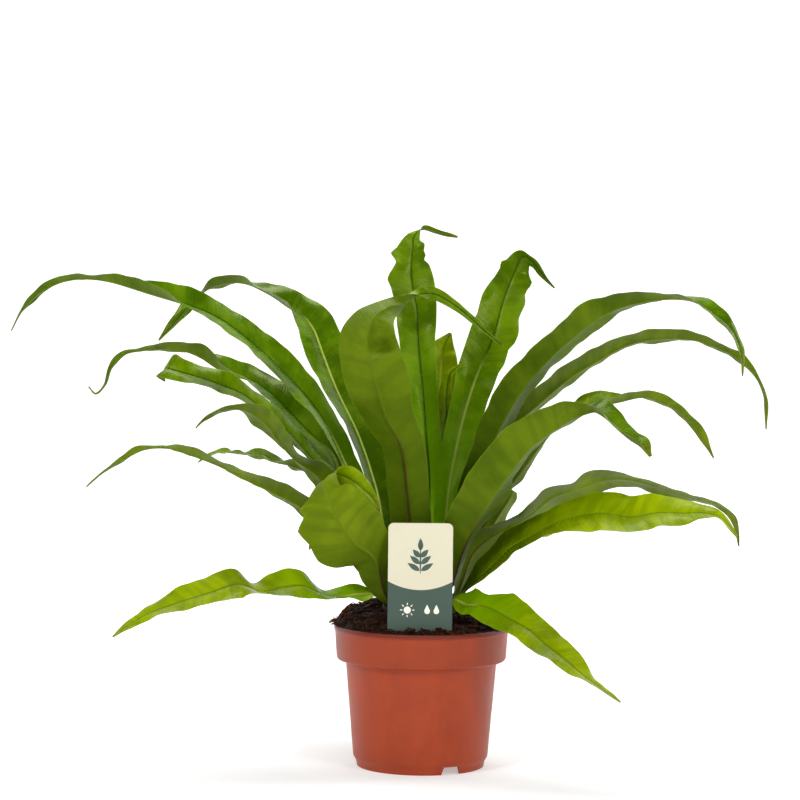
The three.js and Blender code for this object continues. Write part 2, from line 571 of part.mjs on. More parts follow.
function tagOutline(grow) {
  const half = TAG_WIDTH / 2 + grow;
  const top = TAG_TOP_Z + grow;
  const shape = new THREE.Shape();
  shape.moveTo(-TAG_POINT_HALF - grow, TAG_POINT_Z - grow);
  shape.lineTo(TAG_POINT_HALF + grow, TAG_POINT_Z - grow);
  shape.lineTo(half, TAG_SHOULDER_Z - grow);
  shape.lineTo(half, top - TAG_CORNER);
  shape.absarc(half - TAG_CORNER, top - TAG_CORNER, TAG_CORNER, 0, Math.PI / 2, false);
  shape.lineTo(-half + TAG_CORNER, top);
  shape.absarc(-half + TAG_CORNER, top - TAG_CORNER, TAG_CORNER, Math.PI / 2, Math.PI, false);
  shape.lineTo(-half, TAG_SHOULDER_Z - grow);
  shape.closePath();
  const depth = TAG_THICKNESS + 2 * grow;
  const geometry = new THREE.ExtrudeGeometry(shape, { depth, bevelEnabled: false, curveSegments: 4 });
  geometry.rotateX(Math.PI / 2);
  geometry.translate(TAG_CENTRE_X, TAG_Y + depth / 2, 0);
  return geometry;
}

// Fronds: thin waved blades on a thicker midrib, each grown along its own stations

// Runs a smooth curve through the stations, with the width and the roll carried along
function frondCentre(frond) {
  const stations = frond.stations;
  const [first, second] = stations;
  const foot = first.map((value, i) => value + (second[i] - value) * FOOT_SHARE);
  foot[3] = FOOT_WIDTH;
  const all = [first, foot, ...stations.slice(1)];
  const path = new THREE.CatmullRomCurve3(all.map(([x, y, z]) => new THREE.Vector3(x, y, z)));
  const shape = new THREE.CatmullRomCurve3(
    all.map((station) => new THREE.Vector3(station[3], station[4], 0)), false, "catmullrom", 0.5);
  const count = Math.round((all.length - 1) * (frond.samples ?? SAMPLES_PER_SEGMENT));
  const samples = [];
  for (let k = 0; k <= count; k += 1) {
    const along = k / count;
    const size = shape.getPoint(along);
    samples.push({ point: path.getPoint(along), width: size.x, roll: degrees(size.y), along });
  }
  return samples;
}

// Carries a side direction along the path without turning it, then rolls it
function frondFrames(frond) {
  const samples = frondCentre(frond);
  const heading = degrees(frond.heading);
  const carried = new THREE.Vector3(-Math.sin(heading), Math.cos(heading), 0);
  samples.forEach((sample, k) => {
    const before = samples[Math.max(k - 1, 0)].point;
    const after = samples[Math.min(k + 1, samples.length - 1)].point;
    const ahead = after.clone().sub(before).normalize();
    carried.addScaledVector(ahead, -carried.dot(ahead)).normalize();
    sample.side = carried.clone().applyAxisAngle(ahead, sample.roll);
    sample.up = ahead.clone().cross(sample.side);
  });
  return samples;
}

// Falls smoothly from 1 at 0 to 0 at 1 and at -1
function fadeOut(distance) {
  return Math.cos((Math.PI / 2) * Math.min(1, Math.abs(distance))) ** 2;
}

// Upper and lower point of a blade at one place along it and across it
function bladePoints(frond, sample, across) {
  const { along, width, side, up, point } = sample;
  const [height, waves, phase] = frond.wave;
  const half = width / 2;
  const outward = across * across;
  const creased = (frond.creases ?? []).reduce((sum, [at, extra, reach]) => (
    sum + extra * fadeOut((along - at) / reach)), 0);
  const fold = degrees(frond.fold + creased + FOOT_FOLD * (1 - along) ** FOOT_FOLD_FADE);
  const envelope = Math.min(1, along / WAVE_FULL_ALONG) * Math.min(1, half / WAVE_FULL_HALF_WIDTH);
  const lobes = (frond.lobes ?? []).filter((lobe) => lobe[1] * across > 0);
  const jut = lobes.reduce((sum, [at, , extra, reach]) => (
    sum + extra * Math.max(0, 1 - Math.abs(along - at) / reach)), 0);
  const hollow = (frond.hollows ?? []).reduce((sum, [at, middle, depth, before, after, reach]) => {
    const fade = fadeOut((along - at) / (along < at ? before : after));
    return sum + depth * fade * fadeOut((across - middle) / reach);
  }, 0);
  const turn = 2 * Math.PI * waves * along + phase + (across < 0 ? MARGIN_SHIFT : 0);
  const ripple = height * envelope * Math.sin(turn) * outward;
  const out = across * (half * Math.cos(fold) + jut * outward);
  const lift = (Math.abs(across) - 1) * half * Math.sin(fold) + ripple + hollow;
  const rib = across === 0 ? STEM_RIB * (1 - along) ** RIB_FADE : 0;
  const thickness = BLADE_EDGE + (BLADE_MID - BLADE_EDGE) * (1 - outward);
  const upper = point.clone().addScaledVector(side, out).addScaledVector(up, lift + thickness / 2);
  const lower = point.clone().addScaledVector(side, out).addScaledVector(up, lift - thickness / 2 - rib);
  return [upper, lower];
}

// A closed blade whose two faces are split into triangles alike
function makeFrond(frond) {
  const samples = frondFrames(frond);
  const columns = ACROSS.length;
  const right = columns - 1;
  const positions = [];
  for (const sample of samples) {
    for (const face of [0, 1]) {
      for (const across of ACROSS) {
        const point = bladePoints(frond, sample, across)[face];
        positions.push(point.x, point.y, point.z);
      }
    }
  }
  const index = (k, face, column) => (k * 2 + face) * columns + column;
  const triangles = [];
  const quad = (a, b, c, d) => triangles.push(a, b, c, a, c, d);
  for (let k = 0; k + 1 < samples.length; k += 1) {
    for (let c = 0; c + 1 < columns; c += 1) {
      quad(index(k, 0, c), index(k + 1, 0, c), index(k + 1, 0, c + 1), index(k, 0, c + 1));
      triangles.push(index(k, 1, c), index(k + 1, 1, c + 1), index(k + 1, 1, c));
      triangles.push(index(k, 1, c), index(k, 1, c + 1), index(k + 1, 1, c + 1));
    }
    quad(index(k, 1, 0), index(k + 1, 1, 0), index(k + 1, 0, 0), index(k, 0, 0));
    quad(index(k, 0, right), index(k + 1, 0, right), index(k + 1, 1, right), index(k, 1, right));
  }
  const last = samples.length - 1;
  for (let c = 0; c + 1 < columns; c += 1) {
    quad(index(0, 0, c), index(0, 0, c + 1), index(0, 1, c + 1), index(0, 1, c));
    quad(index(last, 1, c), index(last, 1, c + 1), index(last, 0, c + 1), index(last, 0, c));
  }
  const geometry = new THREE.BufferGeometry();
  geometry.setAttribute("position", new THREE.Float32BufferAttribute(positions, 3));
  geometry.setIndex(triangles);
  return geometry;
}

// The whole plant in its pot

const plant = new THREE.Group();

function addMesh(name, geometry, look) {
  const mesh = new THREE.Mesh(geometry, new THREE.MeshStandardMaterial(look));
  mesh.name = name;
  plant.add(mesh);
}

addMesh("pot", makePot(), TERRACOTTA);
addMesh("soil", makeSoil(), PEAT);
addMesh("crown", makeCrown(), SCALE_BROWN);
addMesh("plant_tag", tagOutline(0), CREAM_CARD);
for (const frond of FRONDS) {
  addMesh(frond.name, makeFrond(frond), PALE_FRONDS.includes(frond.name) ? PALE_GREEN : GREEN);
}

export default plant;
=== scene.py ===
# The looks of a potted bird's nest fern with narrow waved fronds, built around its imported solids.
# Metres, +Z up. The origin is the middle of the pot's underside, and the front is -Y.

import math
import random
from dataclasses import dataclass, field

import bmesh
import bpy
import numpy as np
from mathutils import Matrix, Vector, noise


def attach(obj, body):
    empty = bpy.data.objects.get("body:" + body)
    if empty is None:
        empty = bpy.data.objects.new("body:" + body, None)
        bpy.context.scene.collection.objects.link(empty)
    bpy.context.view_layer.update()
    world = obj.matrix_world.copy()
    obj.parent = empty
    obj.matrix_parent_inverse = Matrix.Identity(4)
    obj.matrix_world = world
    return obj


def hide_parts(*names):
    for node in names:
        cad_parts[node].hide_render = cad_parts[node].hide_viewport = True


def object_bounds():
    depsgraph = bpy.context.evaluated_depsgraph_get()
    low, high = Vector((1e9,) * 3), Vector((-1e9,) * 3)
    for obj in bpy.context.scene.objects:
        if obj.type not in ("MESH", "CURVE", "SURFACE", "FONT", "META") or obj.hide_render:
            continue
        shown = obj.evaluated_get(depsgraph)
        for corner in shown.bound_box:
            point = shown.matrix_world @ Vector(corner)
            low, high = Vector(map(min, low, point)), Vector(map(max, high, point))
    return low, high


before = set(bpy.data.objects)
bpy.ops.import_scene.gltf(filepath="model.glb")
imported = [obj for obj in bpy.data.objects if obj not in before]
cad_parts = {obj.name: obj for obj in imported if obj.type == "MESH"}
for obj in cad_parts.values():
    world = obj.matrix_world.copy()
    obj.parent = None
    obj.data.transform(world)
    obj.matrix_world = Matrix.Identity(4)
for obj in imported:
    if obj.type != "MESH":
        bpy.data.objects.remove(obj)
cad_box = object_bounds()

# Camera: where it stands, what it looks at, and its slight roll
CAMERA_PLACE = Vector((-0.0164, -2.0, 0.352))
CAMERA_AIM = Vector((-0.0164, 0.0, 0.251))
CAMERA_ROLL = 0.0103
CAMERA_LENS = 131.8
SENSOR = 36

# Floor: flat out to FLOOR_FAR behind the pot, then swept up. It glows fully GLOW_FULL away from the pot
FLOOR_REACH = 8.0
FLOOR_FAR = 3.2
SWEEP_RADIUS = 1.8
SWEEP_STEPS = 12
GLOW_NEAR_POT = 0.4
GLOW_FAR_OUT = 0.95
GLOW_FROM = 0.35
GLOW_FULL = 1.0

# Light: the sky's strength, and softboxes as name, place, size and watts
SKY_STRENGTH = 0.05
LIGHT_AIM = (0, 0, 0.2)
SOFTBOXES = [
    ("top", (0.1, 0.3, 1.8), (1.0, 0.8), 26),
    ("key", (-1.3, -1.5, 1.5), (0.5, 0.5), 23),
    ("fill", (1.3, -1.7, 1.2), (0.5, 0.5), 17),
    ("front", (0.1, -2.2, 0.8), (0.5, 0.5), 8),
    ("left", (-1.8, 0.5, 0.8), (0.4, 1.2), 5),
    ("right", (1.7, 0.7, 0.8), (0.4, 1.2), 8),
]

# Pot
RIM_RADIUS = 0.060
POT_HEIGHT = 0.097
COLLAR_BOTTOM = 0.074
COLLAR_RADIUS = 0.0581
BODY_TOP_RADIUS = 0.0518
BODY_FOOT_RADIUS = 0.0462
FOOT_RADIUS = 0.0436
FOOT_HEIGHT = 0.004
WALL = 0.0013
BEAD_HEIGHT = 0.0032
BEAD_OUT = 0.0006
FLOOR_UNDERSIDE = 0.0055
FLOOR_THICKNESS = 0.0018
PAD_RADIUS = 0.017
POT_SIDES = 180
POT_ROUNDING = 0.0009
ROUNDING_STEPS = 4
ROOM = 0.0003
FOOT_NOTCHES = 3
NOTCH_TOP_WIDTH = 0.0115
NOTCH_FOOT_WIDTH = 0.014
NOTCH_HEIGHT = 0.0055
NOTCH_DEPTH = 0.008
FIRST_NOTCH_ANGLE = 298
DRAIN_HOLES = 8
DRAIN_RADIUS = 0.004
DRAIN_RING = 0.034
DRAIN_CUT_DEPTH = 0.008

# Soil and what lies on it
SOIL_EDGE_Z = 0.0952
SOIL_RISE_BACK = 0.0155
SOIL_RISE_FRONT = 0.010
SOIL_STEEPNESS_BACK = 5
SOIL_STEEPNESS_FRONT = 2.6
SOIL_STEEPNESS_LEFT = 8
SOIL_DIP = 0.0026
SOIL_DIP_RADIUS = 0.044
LUMP_HEIGHT = 0.0024
LUMPS_PER_METRE = 95
GRAIN_HEIGHT = 0.0009
GRAINS_PER_METRE = 420
SOIL_SIDES = 200
SOIL_RINGS = 70
CRUMBS = 1100
CRUMB_SIZES = (0.0006, 0.0008, 0.0011, 0.0015, 0.002, 0.0028)
CRUMB_BEFORE_TAG = 0.001
CHIPS = 230
CHIP_SIZES = (0.0018, 0.0046)
FINE_BIT = 0.0009
LITTER_RADIUS = RIM_RADIUS - 0.0036
LITTER_SEEDS = {"crumbs": 5, "chips": 11, "fibres": 23}
FIBRES = 320
FIBRE_STEPS = 8
FIBRE_LENGTHS = (0.004, 0.014)
FIBRE_THICKNESSES = (0.00012, 0.0003)
FIBRE_END_RISE = 0.0022
SPILLED_FIBRES = 100
SPILL_ANGLES = (164, 196)
SPILL_STARTS = (0.046, 0.054)
SPILL_LENGTHS = (0.006, 0.0125)
SPILL_THICKNESSES = (0.0002, 0.0005)
SPILL_LIFTS = (0.0004, 0.0024)

# Crown
CROWN_RADIUS = 0.027
CROWN_BOTTOM = 0.098
CROWN_EDGE_Z = 0.110
CROWN_TOP_Z = 0.121
CROWN_DOME = 1.6
CROWN_RINGS = 12
CROWN_SIDES = 96
CROWN_BUMPS_PER_METRE = 300
CROWN_ROUGHNESS = 0.0008
CROWN_SCALES = 150
CROWN_SEED = 31
SCALE_LENGTHS = (0.003, 0.008)
SCALE_THICKNESSES = (0.0003, 0.0007)

# Plant tag
TAG_WIDTH = 0.0434
TAG_TOP_Z = 0.171
TAG_SHOULDER_Z = 0.092
TAG_POINT_Z = 0.055
TAG_CENTRE_X = -0.0016
TAG_Y = -0.0464
TAG_THICKNESS = 0.0008
TAG_CORNER = 0.0035
TAG_CORNER_STEPS = 8
TAG_EDGE_BEVEL = 0.00018
TAG_POINT_HALF = 0.003
TAG_FIELD_EDGE_Z = 0.1318
TAG_FIELD_SAG = 0.0058
PRINT_PROUD = 0.00006
SPRIG_FOOT_Z = 0.139
SPRIG_LEAF_STEP = 0.0045
SPRIG_LEAF_WIDTH = 0.0036
SUN_PLACE = (TAG_CENTRE_X - 0.0085, 0.1125)
SUN_RADIUS = 0.0024
SUN_RAYS = 8
RAY_RING = 0.0032
DISC_SIDES = 32
DROP_RADIUS = 0.0019
DROP_Z = 0.1118

# What all fronds share
BLADE_MID = 0.0006
BLADE_EDGE = 0.00035
TIP_WIDTH = 0.0006
STEM_RIB = 0.0017
RIB_GROOVE = 0.0003
NEAR_FOOT_WIDTH = 0.0044
FOOT_SHARE = 0.3
RIB_HALF = 0.0017
ROWS_PER_STATION = 9
BLADE_COLUMNS = 7
FOLD_AT_FOOT = 10
FULL_WAVE_HALF = 0.006
ARCH = 0.035
OTHER_MARGIN_SHIFT = 1.9
CRINKLE = 0.001
CRINKLES = ((0.034, 0.5), (0.021, 0.3), (0.013, 0.2))
QUILT = 0.0008
QUILT_SIZE = 0.017
PLEAT = 0.00016
PLEAT_SPACING = 0.011
VEIN_SLANT = 0.45
VEIN_SPACING = 0.0019
SEED_STEP = 1.7

# The looks of a blade's two faces. Colours are as seen on a screen, from 0 to 255. A frond's tone
# leads from the green ones at 0 to the yellow ones at 1. The dark foot colour is painted shade near the
# crown and in bands across the side veins, and the light foot colour is painted light near the foot.
# On the upper face the outer midrib colours, green and yellow, are painted shadow in the midrib's groove
UPPER_FACE = {
    "green": (56, 87, 0), "light_green": (88, 121, 0), "painted_shade": (42, 66, 0),
    "yellow": (128, 150, 0), "light_yellow": (158, 176, 0), "painted_lit_foot": (126, 178, 0),
    "rib_foot": (120, 128, 44), "pale_rib": (172, 186, 84),
    "green_rib": (34, 72, 1), "yellow_rib": (96, 122, 2), "rib_foot_until": 0.08,
    "roughness": 0.24, "specular": 0.19, "tint": (0.95, 1.0, 0.3, 1.0),
}
UNDERSIDE = {
    "green": (62, 84, 0), "light_green": (83, 104, 7), "painted_shade": (42, 62, 1),
    "yellow": (114, 134, 2), "light_yellow": (138, 156, 14), "painted_lit_foot": (74, 96, 1),
    "rib_foot": (56, 30, 14), "pale_rib": (104, 112, 24),
    "green_rib": (84, 106, 14), "yellow_rib": (100, 120, 14), "rib_foot_until": 0.34,
    "roughness": 0.5, "specular": 0.26, "tint": (0.85, 1.0, 0.2, 1.0),
}
WITHERED_TIP = (126, 120, 40)
LIGHT_THROUGH = 0.2
LIGHT_THROUGH_COLOUR = (0.35, 1.0, 0.08)
LIGHT_THROUGH_DEPTH = 0.0012

# Colours of the rest, as seen on a screen
TERRACOTTA = (152, 54, 18)
LIGHT_TERRACOTTA = (162, 61, 23)
FLOW_LINE = (128, 42, 14)
COLLAR_SHADE = (112, 34, 10)
RIM_SHADE = (100, 28, 10)
SOIL_SPECK = (52, 26, 16)
WET_PEAT = (20, 12, 8)
PEAT = ((11, 6, 3), (46, 24, 13))
CRUMB = ((13, 6, 3), (70, 34, 17))
BARK = ((24, 11, 6), (112, 56, 28))
FIBRE = ((62, 26, 14), (136, 70, 38))
DRY_SCALE = ((38, 22, 13), (98, 62, 36))
CREAM = ((206, 200, 174), (214, 208, 184))
GREY_GREEN = ((48, 71, 59), (56, 79, 67))
DARK_INK = (52, 78, 66)
PALE_INK = (240, 236, 218)
PALE_FLOOR = ((205, 205, 205), (210, 210, 210))


@dataclass
class Frond:
    """One blade, which grows from the crown through the same stations as its solid."""
    name: str
    # The way that it leans at its foot, in degrees from +X round towards +Y
    heading: float
    # How steeply its halves stand up from the midrib, in degrees
    fold: float
    # The waves of its margins: height, number and phase
    wave: tuple
    # From deep green, 0, to yellow-green, 1
    tone: float
    # Places along its midrib: x, y, z, blade width, and roll in degrees
    stations: list
    # Where a margin juts out or draws in: share along, side, how far, and its reach as a share
    lobes: list = field(default_factory=list)
    # Where the blade is a deeper channel: share along, more fold in degrees, and its reach
    creases: list = field(default_factory=list)
    # Dents: share along, share across, depth, short reach before, long reach after, reach across
    hollows: list = field(default_factory=list)
    # How much painted light it has near its foot, from the dark green of painted shade, 0, to the light
    # green of painted light, 1
    painted_foot_light: float = 0.2
    # How far along its upper face the midrib is pale, before it turns to a dark green that is painted
    # shadow in its groove
    pale_rib: float = 0.25
    slot: str = "frond_green"


FRONDS = [
    Frond("far_left", heading=178, fold=14, wave=(0.0014, 5, 0.4), tone=0.03,
          creases=[(0.62, 30, 0.16)], stations=[
        (-0.01, 0.001, 0.112, 0.004, 0), (-0.031, 0.002, 0.155, 0.015, -15), (-0.048, 0, 0.201, 0.022, -30),
        (-0.067, -0.001, 0.24, 0.027, -28), (-0.089, -0.002, 0.267, 0.029, -30),
        (-0.114, -0.003, 0.29, 0.029, -32), (-0.141, -0.004, 0.31, 0.027, -29),
        (-0.167, -0.005, 0.323, 0.024, -20), (-0.194, -0.006, 0.331, 0.02, 2),
        (-0.221, -0.007, 0.334, 0.015, 20), (-0.246, -0.008, 0.331, 0.013, 28),
        (-0.263, -0.009, 0.322, 0.009, 28), (-0.274, -0.01, 0.31, 0.006, 26),
        (-0.281, -0.01, 0.296, 0.0016, 24),
    ]),
    Frond("upper_left", heading=140, fold=14, wave=(0.0016, 4, 1.2), tone=0.05,
          painted_foot_light=0, pale_rib=0.5, creases=[(0.58, 26, 0.12)], stations=[
        (-0.007, 0.007, 0.114, 0.004, 0), (-0.022, 0.016, 0.15, 0.016, 0), (-0.03, 0.03, 0.19, 0.027, 0),
        (-0.043, 0.045, 0.227, 0.032, -3), (-0.058, 0.058, 0.256, 0.034, -6),
        (-0.069, 0.068, 0.281, 0.034, -14), (-0.076, 0.076, 0.298, 0.034, -16),
        (-0.085, 0.082, 0.313, 0.033, -13), (-0.099, 0.088, 0.323, 0.028, 0),
        (-0.117, 0.094, 0.328, 0.022, 14), (-0.132, 0.098, 0.331, 0.018, 32),
        (-0.151, 0.102, 0.328, 0.016, 26), (-0.165, 0.104, 0.318, 0.013, -20),
        (-0.177, 0.104, 0.303, 0.008, -50), (-0.19, 0.102, 0.287, 0.0016, -50),
    ]),
    Frond("left_curled", heading=170, fold=14, wave=(0.0012, 5, 2.2), tone=0.05,
          painted_foot_light=0, creases=[(0.52, 30, 0.14)], stations=[
        (-0.015, 0.006, 0.112, 0.004, 0), (-0.037, 0.009, 0.157, 0.011, -12),
        (-0.053, 0.013, 0.189, 0.02, -30), (-0.06, 0.017, 0.213, 0.028, -38),
        (-0.079, 0.021, 0.231, 0.029, -33), (-0.101, 0.026, 0.253, 0.028, -30),
        (-0.119, 0.03, 0.267, 0.027, -25), (-0.135, 0.033, 0.274, 0.022, -12),
        (-0.151, 0.036, 0.282, 0.02, 14), (-0.172, 0.039, 0.285, 0.015, 24),
        (-0.195, 0.041, 0.283, 0.011, 24), (-0.21, 0.042, 0.279, 0.007, 22),
        (-0.219, 0.043, 0.269, 0.005, 20), (-0.223, 0.043, 0.257, 0.004, 20),
        (-0.229, 0.043, 0.251, 0.003, 20), (-0.234, 0.043, 0.256, 0.0016, 20),
    ]),
    Frond("left_blunt", heading=183, fold=12, wave=(0.001, 5, 0), tone=0.15, stations=[
        (-0.015, -0.001, 0.111, 0.004, 0), (-0.04, -0.003, 0.158, 0.01, -15),
        (-0.06, -0.003, 0.194, 0.019, -28), (-0.075, -0.003, 0.212, 0.02, -22),
        (-0.091, -0.003, 0.23, 0.021, -18), (-0.107, -0.003, 0.244, 0.024, -25),
        (-0.123, -0.004, 0.256, 0.023, -27), (-0.14, -0.005, 0.263, 0.024, -34),
        (-0.156, -0.006, 0.268, 0.023, -38), (-0.169, -0.006, 0.271, 0.02, -50),
        (-0.177, -0.003, 0.273, 0.022, -50), (-0.18, 0.005, 0.267, 0.009, -50),
        (-0.178, 0.01, 0.262, 0.0018, -50),
    ]),
    Frond("left_short", heading=190, fold=10, wave=(0.0008, 4, 1), tone=0.25, stations=[
        (-0.016, -0.008, 0.111, 0.004, 0), (-0.044, -0.013, 0.152, 0.01, 14),
        (-0.058, -0.016, 0.187, 0.019, 34), (-0.072, -0.018, 0.203, 0.024, 34),
        (-0.086, -0.02, 0.213, 0.022, 16), (-0.096, -0.021, 0.224, 0.024, 16),
        (-0.104, -0.022, 0.235, 0.027, 30), (-0.114, -0.024, 0.243, 0.027, 32),
        (-0.125, -0.026, 0.246, 0.011, 22), (-0.139, -0.028, 0.244, 0.01, 24),
        (-0.148, -0.029, 0.238, 0.006, 24), (-0.154, -0.03, 0.232, 0.0016, 24),
    ]),
    Frond("left_wavy", heading=176, fold=8, wave=(0.001, 6, 0.5), tone=0.25, stations=[
        (-0.021, 0.004, 0.108, 0.004, 0), (-0.043, 0.005, 0.148, 0.009, 10),
        (-0.063, 0.006, 0.181, 0.018, 34), (-0.079, 0.006, 0.202, 0.02, 26),
        (-0.092, 0.006, 0.207, 0.018, 22), (-0.103, 0.007, 0.209, 0.016, -14),
        (-0.11, 0.007, 0.213, 0.015, -16), (-0.12, 0.007, 0.213, 0.014, 0),
        (-0.131, 0.007, 0.214, 0.012, 10), (-0.139, 0.008, 0.214, 0.01, -10),
        (-0.147, 0.008, 0.212, 0.007, -12), (-0.155, 0.008, 0.206, 0.0016, -12),
    ]),
    Frond("left_low", heading=197, fold=12, wave=(0.0011, 5, 0.8), tone=0.3, stations=[
        (-0.02, -0.007, 0.108, 0.004, 0), (-0.044, -0.019, 0.14, 0.011, 12),
        (-0.061, -0.027, 0.162, 0.019, 24), (-0.08, -0.034, 0.182, 0.024, 30),
        (-0.1, -0.042, 0.193, 0.025, 23), (-0.118, -0.048, 0.202, 0.024, 12),
        (-0.136, -0.053, 0.211, 0.022, 12), (-0.152, -0.058, 0.217, 0.019, 14),
        (-0.168, -0.062, 0.222, 0.016, 14), (-0.185, -0.066, 0.221, 0.012, 20),
        (-0.199, -0.068, 0.214, 0.009, 26), (-0.211, -0.07, 0.206, 0.006, 26),
        (-0.223, -0.071, 0.195, 0.0016, 26),
    ]),
    Frond("lower_left", heading=208, fold=8, wave=(0.0012, 4, 0.2), tone=0.85,
          painted_foot_light=0.7, pale_rib=0.3, slot="frond_pale", stations=[
        (-0.017, -0.012, 0.109, 0.004, 0), (-0.031, -0.018, 0.12, 0.007, -20),
        (-0.041, -0.022, 0.121, 0.016, -40), (-0.053, -0.029, 0.121, 0.022, -20),
        (-0.065, -0.035, 0.122, 0.026, -14), (-0.079, -0.042, 0.129, 0.028, -40),
        (-0.094, -0.05, 0.129, 0.029, -28), (-0.108, -0.056, 0.127, 0.029, -16),
        (-0.122, -0.062, 0.132, 0.029, -34), (-0.141, -0.07, 0.127, 0.027, -28),
        (-0.163, -0.076, 0.12, 0.022, -31), (-0.181, -0.08, 0.113, 0.014, -29),
        (-0.194, -0.082, 0.105, 0.007, -28), (-0.204, -0.083, 0.097, 0.0016, -28),
    ]),
    Frond("front_short", heading=236, fold=9, wave=(0.0012, 3, 1.6), tone=0.55, lobes=[
        (0.39, -1, 0.004, 0.05), (0.47, -1, 0.0035, 0.04), (0.5, -1, -0.003, 0.03), (0.54, -1, 0.002, 0.04),
        (0.62, -1, -0.005, 0.06),
    ], stations=[
        (-0.015, -0.015, 0.109, 0.004, 20), (-0.024, -0.024, 0.119, 0.013, 32),
        (-0.029, -0.029, 0.133, 0.025, 46), (-0.033, -0.037, 0.148, 0.031, 44),
        (-0.046, -0.047, 0.16, 0.05, 42), (-0.057, -0.057, 0.175, 0.051, 41),
        (-0.062, -0.064, 0.188, 0.04, 42), (-0.065, -0.064, 0.197, 0.026, 10),
        (-0.06, -0.06, 0.203, 0.02, -40), (-0.052, -0.058, 0.202, 0.018, -75),
        (-0.044, -0.056, 0.197, 0.015, -85), (-0.036, -0.055, 0.19, 0.009, -85),
        (-0.029, -0.054, 0.181, 0.0016, -85),
    ]),
    Frond("front_centre", heading=270, fold=12, wave=(0.0016, 3, 0.7), tone=0.12,
          painted_foot_light=0.5, hollows=[(0.44, 0.4, 0.012, 0.026, 0.1, 0.62)], stations=[
        (-0.003, -0.014, 0.112, 0.004, 0), (-0.006, -0.017, 0.148, 0.026, -6),
        (-0.01, -0.022, 0.19, 0.03, -12), (-0.014, -0.027, 0.222, 0.032, -18),
        (-0.024, -0.031, 0.242, 0.037, -16), (-0.03, -0.035, 0.26, 0.044, -8),
        (-0.036, -0.037, 0.279, 0.043, -8), (-0.038, -0.035, 0.294, 0.04, -8),
        (-0.034, -0.029, 0.306, 0.031, -4), (-0.025, -0.021, 0.314, 0.017, 10),
        (-0.016, -0.012, 0.317, 0.012, 60), (-0.007, -0.003, 0.323, 0.01, 145),
        (0.006, 0.005, 0.324, 0.009, 205), (0.018, 0.011, 0.318, 0.008, 215),
        (0.031, 0.016, 0.308, 0.006, 220), (0.042, 0.019, 0.298, 0.004, 222),
        (0.053, 0.022, 0.289, 0.0016, 222),
    ]),
    Frond("tall_centre", heading=95, fold=12, wave=(0.0016, 6, 0.4), tone=0.08,
          painted_foot_light=1, pale_rib=0.1, lobes=[
        (0.5, 1, -0.0017, 0.06), (0.55, 1, 0.002, 0.025), (0.6, 1, -0.002, 0.03), (0.635, 1, 0.0035, 0.025),
        (0.61, -1, -0.0028, 0.02), (0.65, -1, -0.0022, 0.04),
    ], stations=[
        (0.002, 0.008, 0.115, 0.004, 0), (0.004, 0.014, 0.154, 0.015, 0), (0.004, 0.024, 0.195, 0.021, -16),
        (0.001, 0.031, 0.229, 0.023, -20), (-0.002, 0.035, 0.263, 0.024, -20),
        (-0.005, 0.038, 0.291, 0.026, -20), (-0.006, 0.043, 0.312, 0.031, -16),
        (-0.009, 0.047, 0.331, 0.032, -10), (-0.01, 0.05, 0.345, 0.026, -14),
        (-0.009, 0.053, 0.356, 0.021, -16), (-0.008, 0.056, 0.363, 0.009, -20),
        (-0.002, 0.059, 0.369, 0.006, -75), (0.007, 0.061, 0.367, 0.005, -110),
        (0.015, 0.063, 0.365, 0.0035, -120), (0.023, 0.064, 0.363, 0.0016, -120),
    ]),
    Frond("tall_right", heading=65, fold=12, wave=(0.0016, 6, 1.5), tone=0.1,
          painted_foot_light=1, pale_rib=0.42, lobes=[
        (0.43, -1, -0.0026, 0.07), (0.485, -1, -0.004, 0.035), (0.55, -1, -0.003, 0.05),
        (0.62, -1, -0.002, 0.03), (0.68, -1, 0.003, 0.04), (0.54, 1, -0.0013, 0.04),
        (0.64, 1, -0.0012, 0.05), (0.705, 1, 0.002, 0.03),
    ], stations=[
        (0.009, 0.003, 0.115, 0.004, 0), (0.015, 0.01, 0.154, 0.015, 20), (0.018, 0.017, 0.185, 0.021, 40),
        (0.023, 0.023, 0.213, 0.025, 45), (0.031, 0.032, 0.246, 0.028, 45), (0.04, 0.042, 0.273, 0.032, 38),
        (0.049, 0.05, 0.294, 0.036, 30), (0.055, 0.057, 0.316, 0.033, 30), (0.061, 0.062, 0.332, 0.027, 34),
        (0.065, 0.065, 0.342, 0.02, 40), (0.069, 0.065, 0.349, 0.013, 50), (0.075, 0.062, 0.346, 0.009, 50),
        (0.081, 0.058, 0.339, 0.006, 50), (0.091, 0.052, 0.328, 0.0016, 50),
    ]),
    # Its yellow tone and light foot are painted light on a frond that stands in the shade of those in front
    Frond("back_small", heading=85, fold=14, wave=(0.0012, 4, 0), tone=0.7,
          painted_foot_light=1, pale_rib=0.8, stations=[
        (0.003, 0.015, 0.111, 0.004, 0), (0.005, 0.034, 0.166, 0.012, 0), (0.009, 0.048, 0.207, 0.021, 0),
        (0.011, 0.058, 0.241, 0.026, 0), (0.012, 0.068, 0.268, 0.026, 0), (0.014, 0.074, 0.285, 0.018, 0),
        (0.019, 0.078, 0.295, 0.002, 0),
    ]),
    Frond("young_curl", heading=60, fold=16, wave=(0.0006, 3, 0), tone=0.6, stations=[
        (0.011, 0.014, 0.11, 0.0036, 0), (0.016, 0.028, 0.18, 0.006, 0), (0.015, 0.034, 0.22, 0.011, 0),
        (0.015, 0.035, 0.25, 0.012, 0), (0.016, 0.033, 0.261, 0.009, 0), (0.018, 0.03, 0.268, 0.005, 0),
        (0.023, 0.028, 0.273, 0.003, 0), (0.029, 0.027, 0.275, 0.0016, 0),
    ]),
    Frond("right_long", heading=-16, fold=14, wave=(0.0012, 5, 0.9), tone=0.05, stations=[
        (0.009, -0.006, 0.114, 0.004, 0), (0.02, -0.008, 0.152, 0.012, -8),
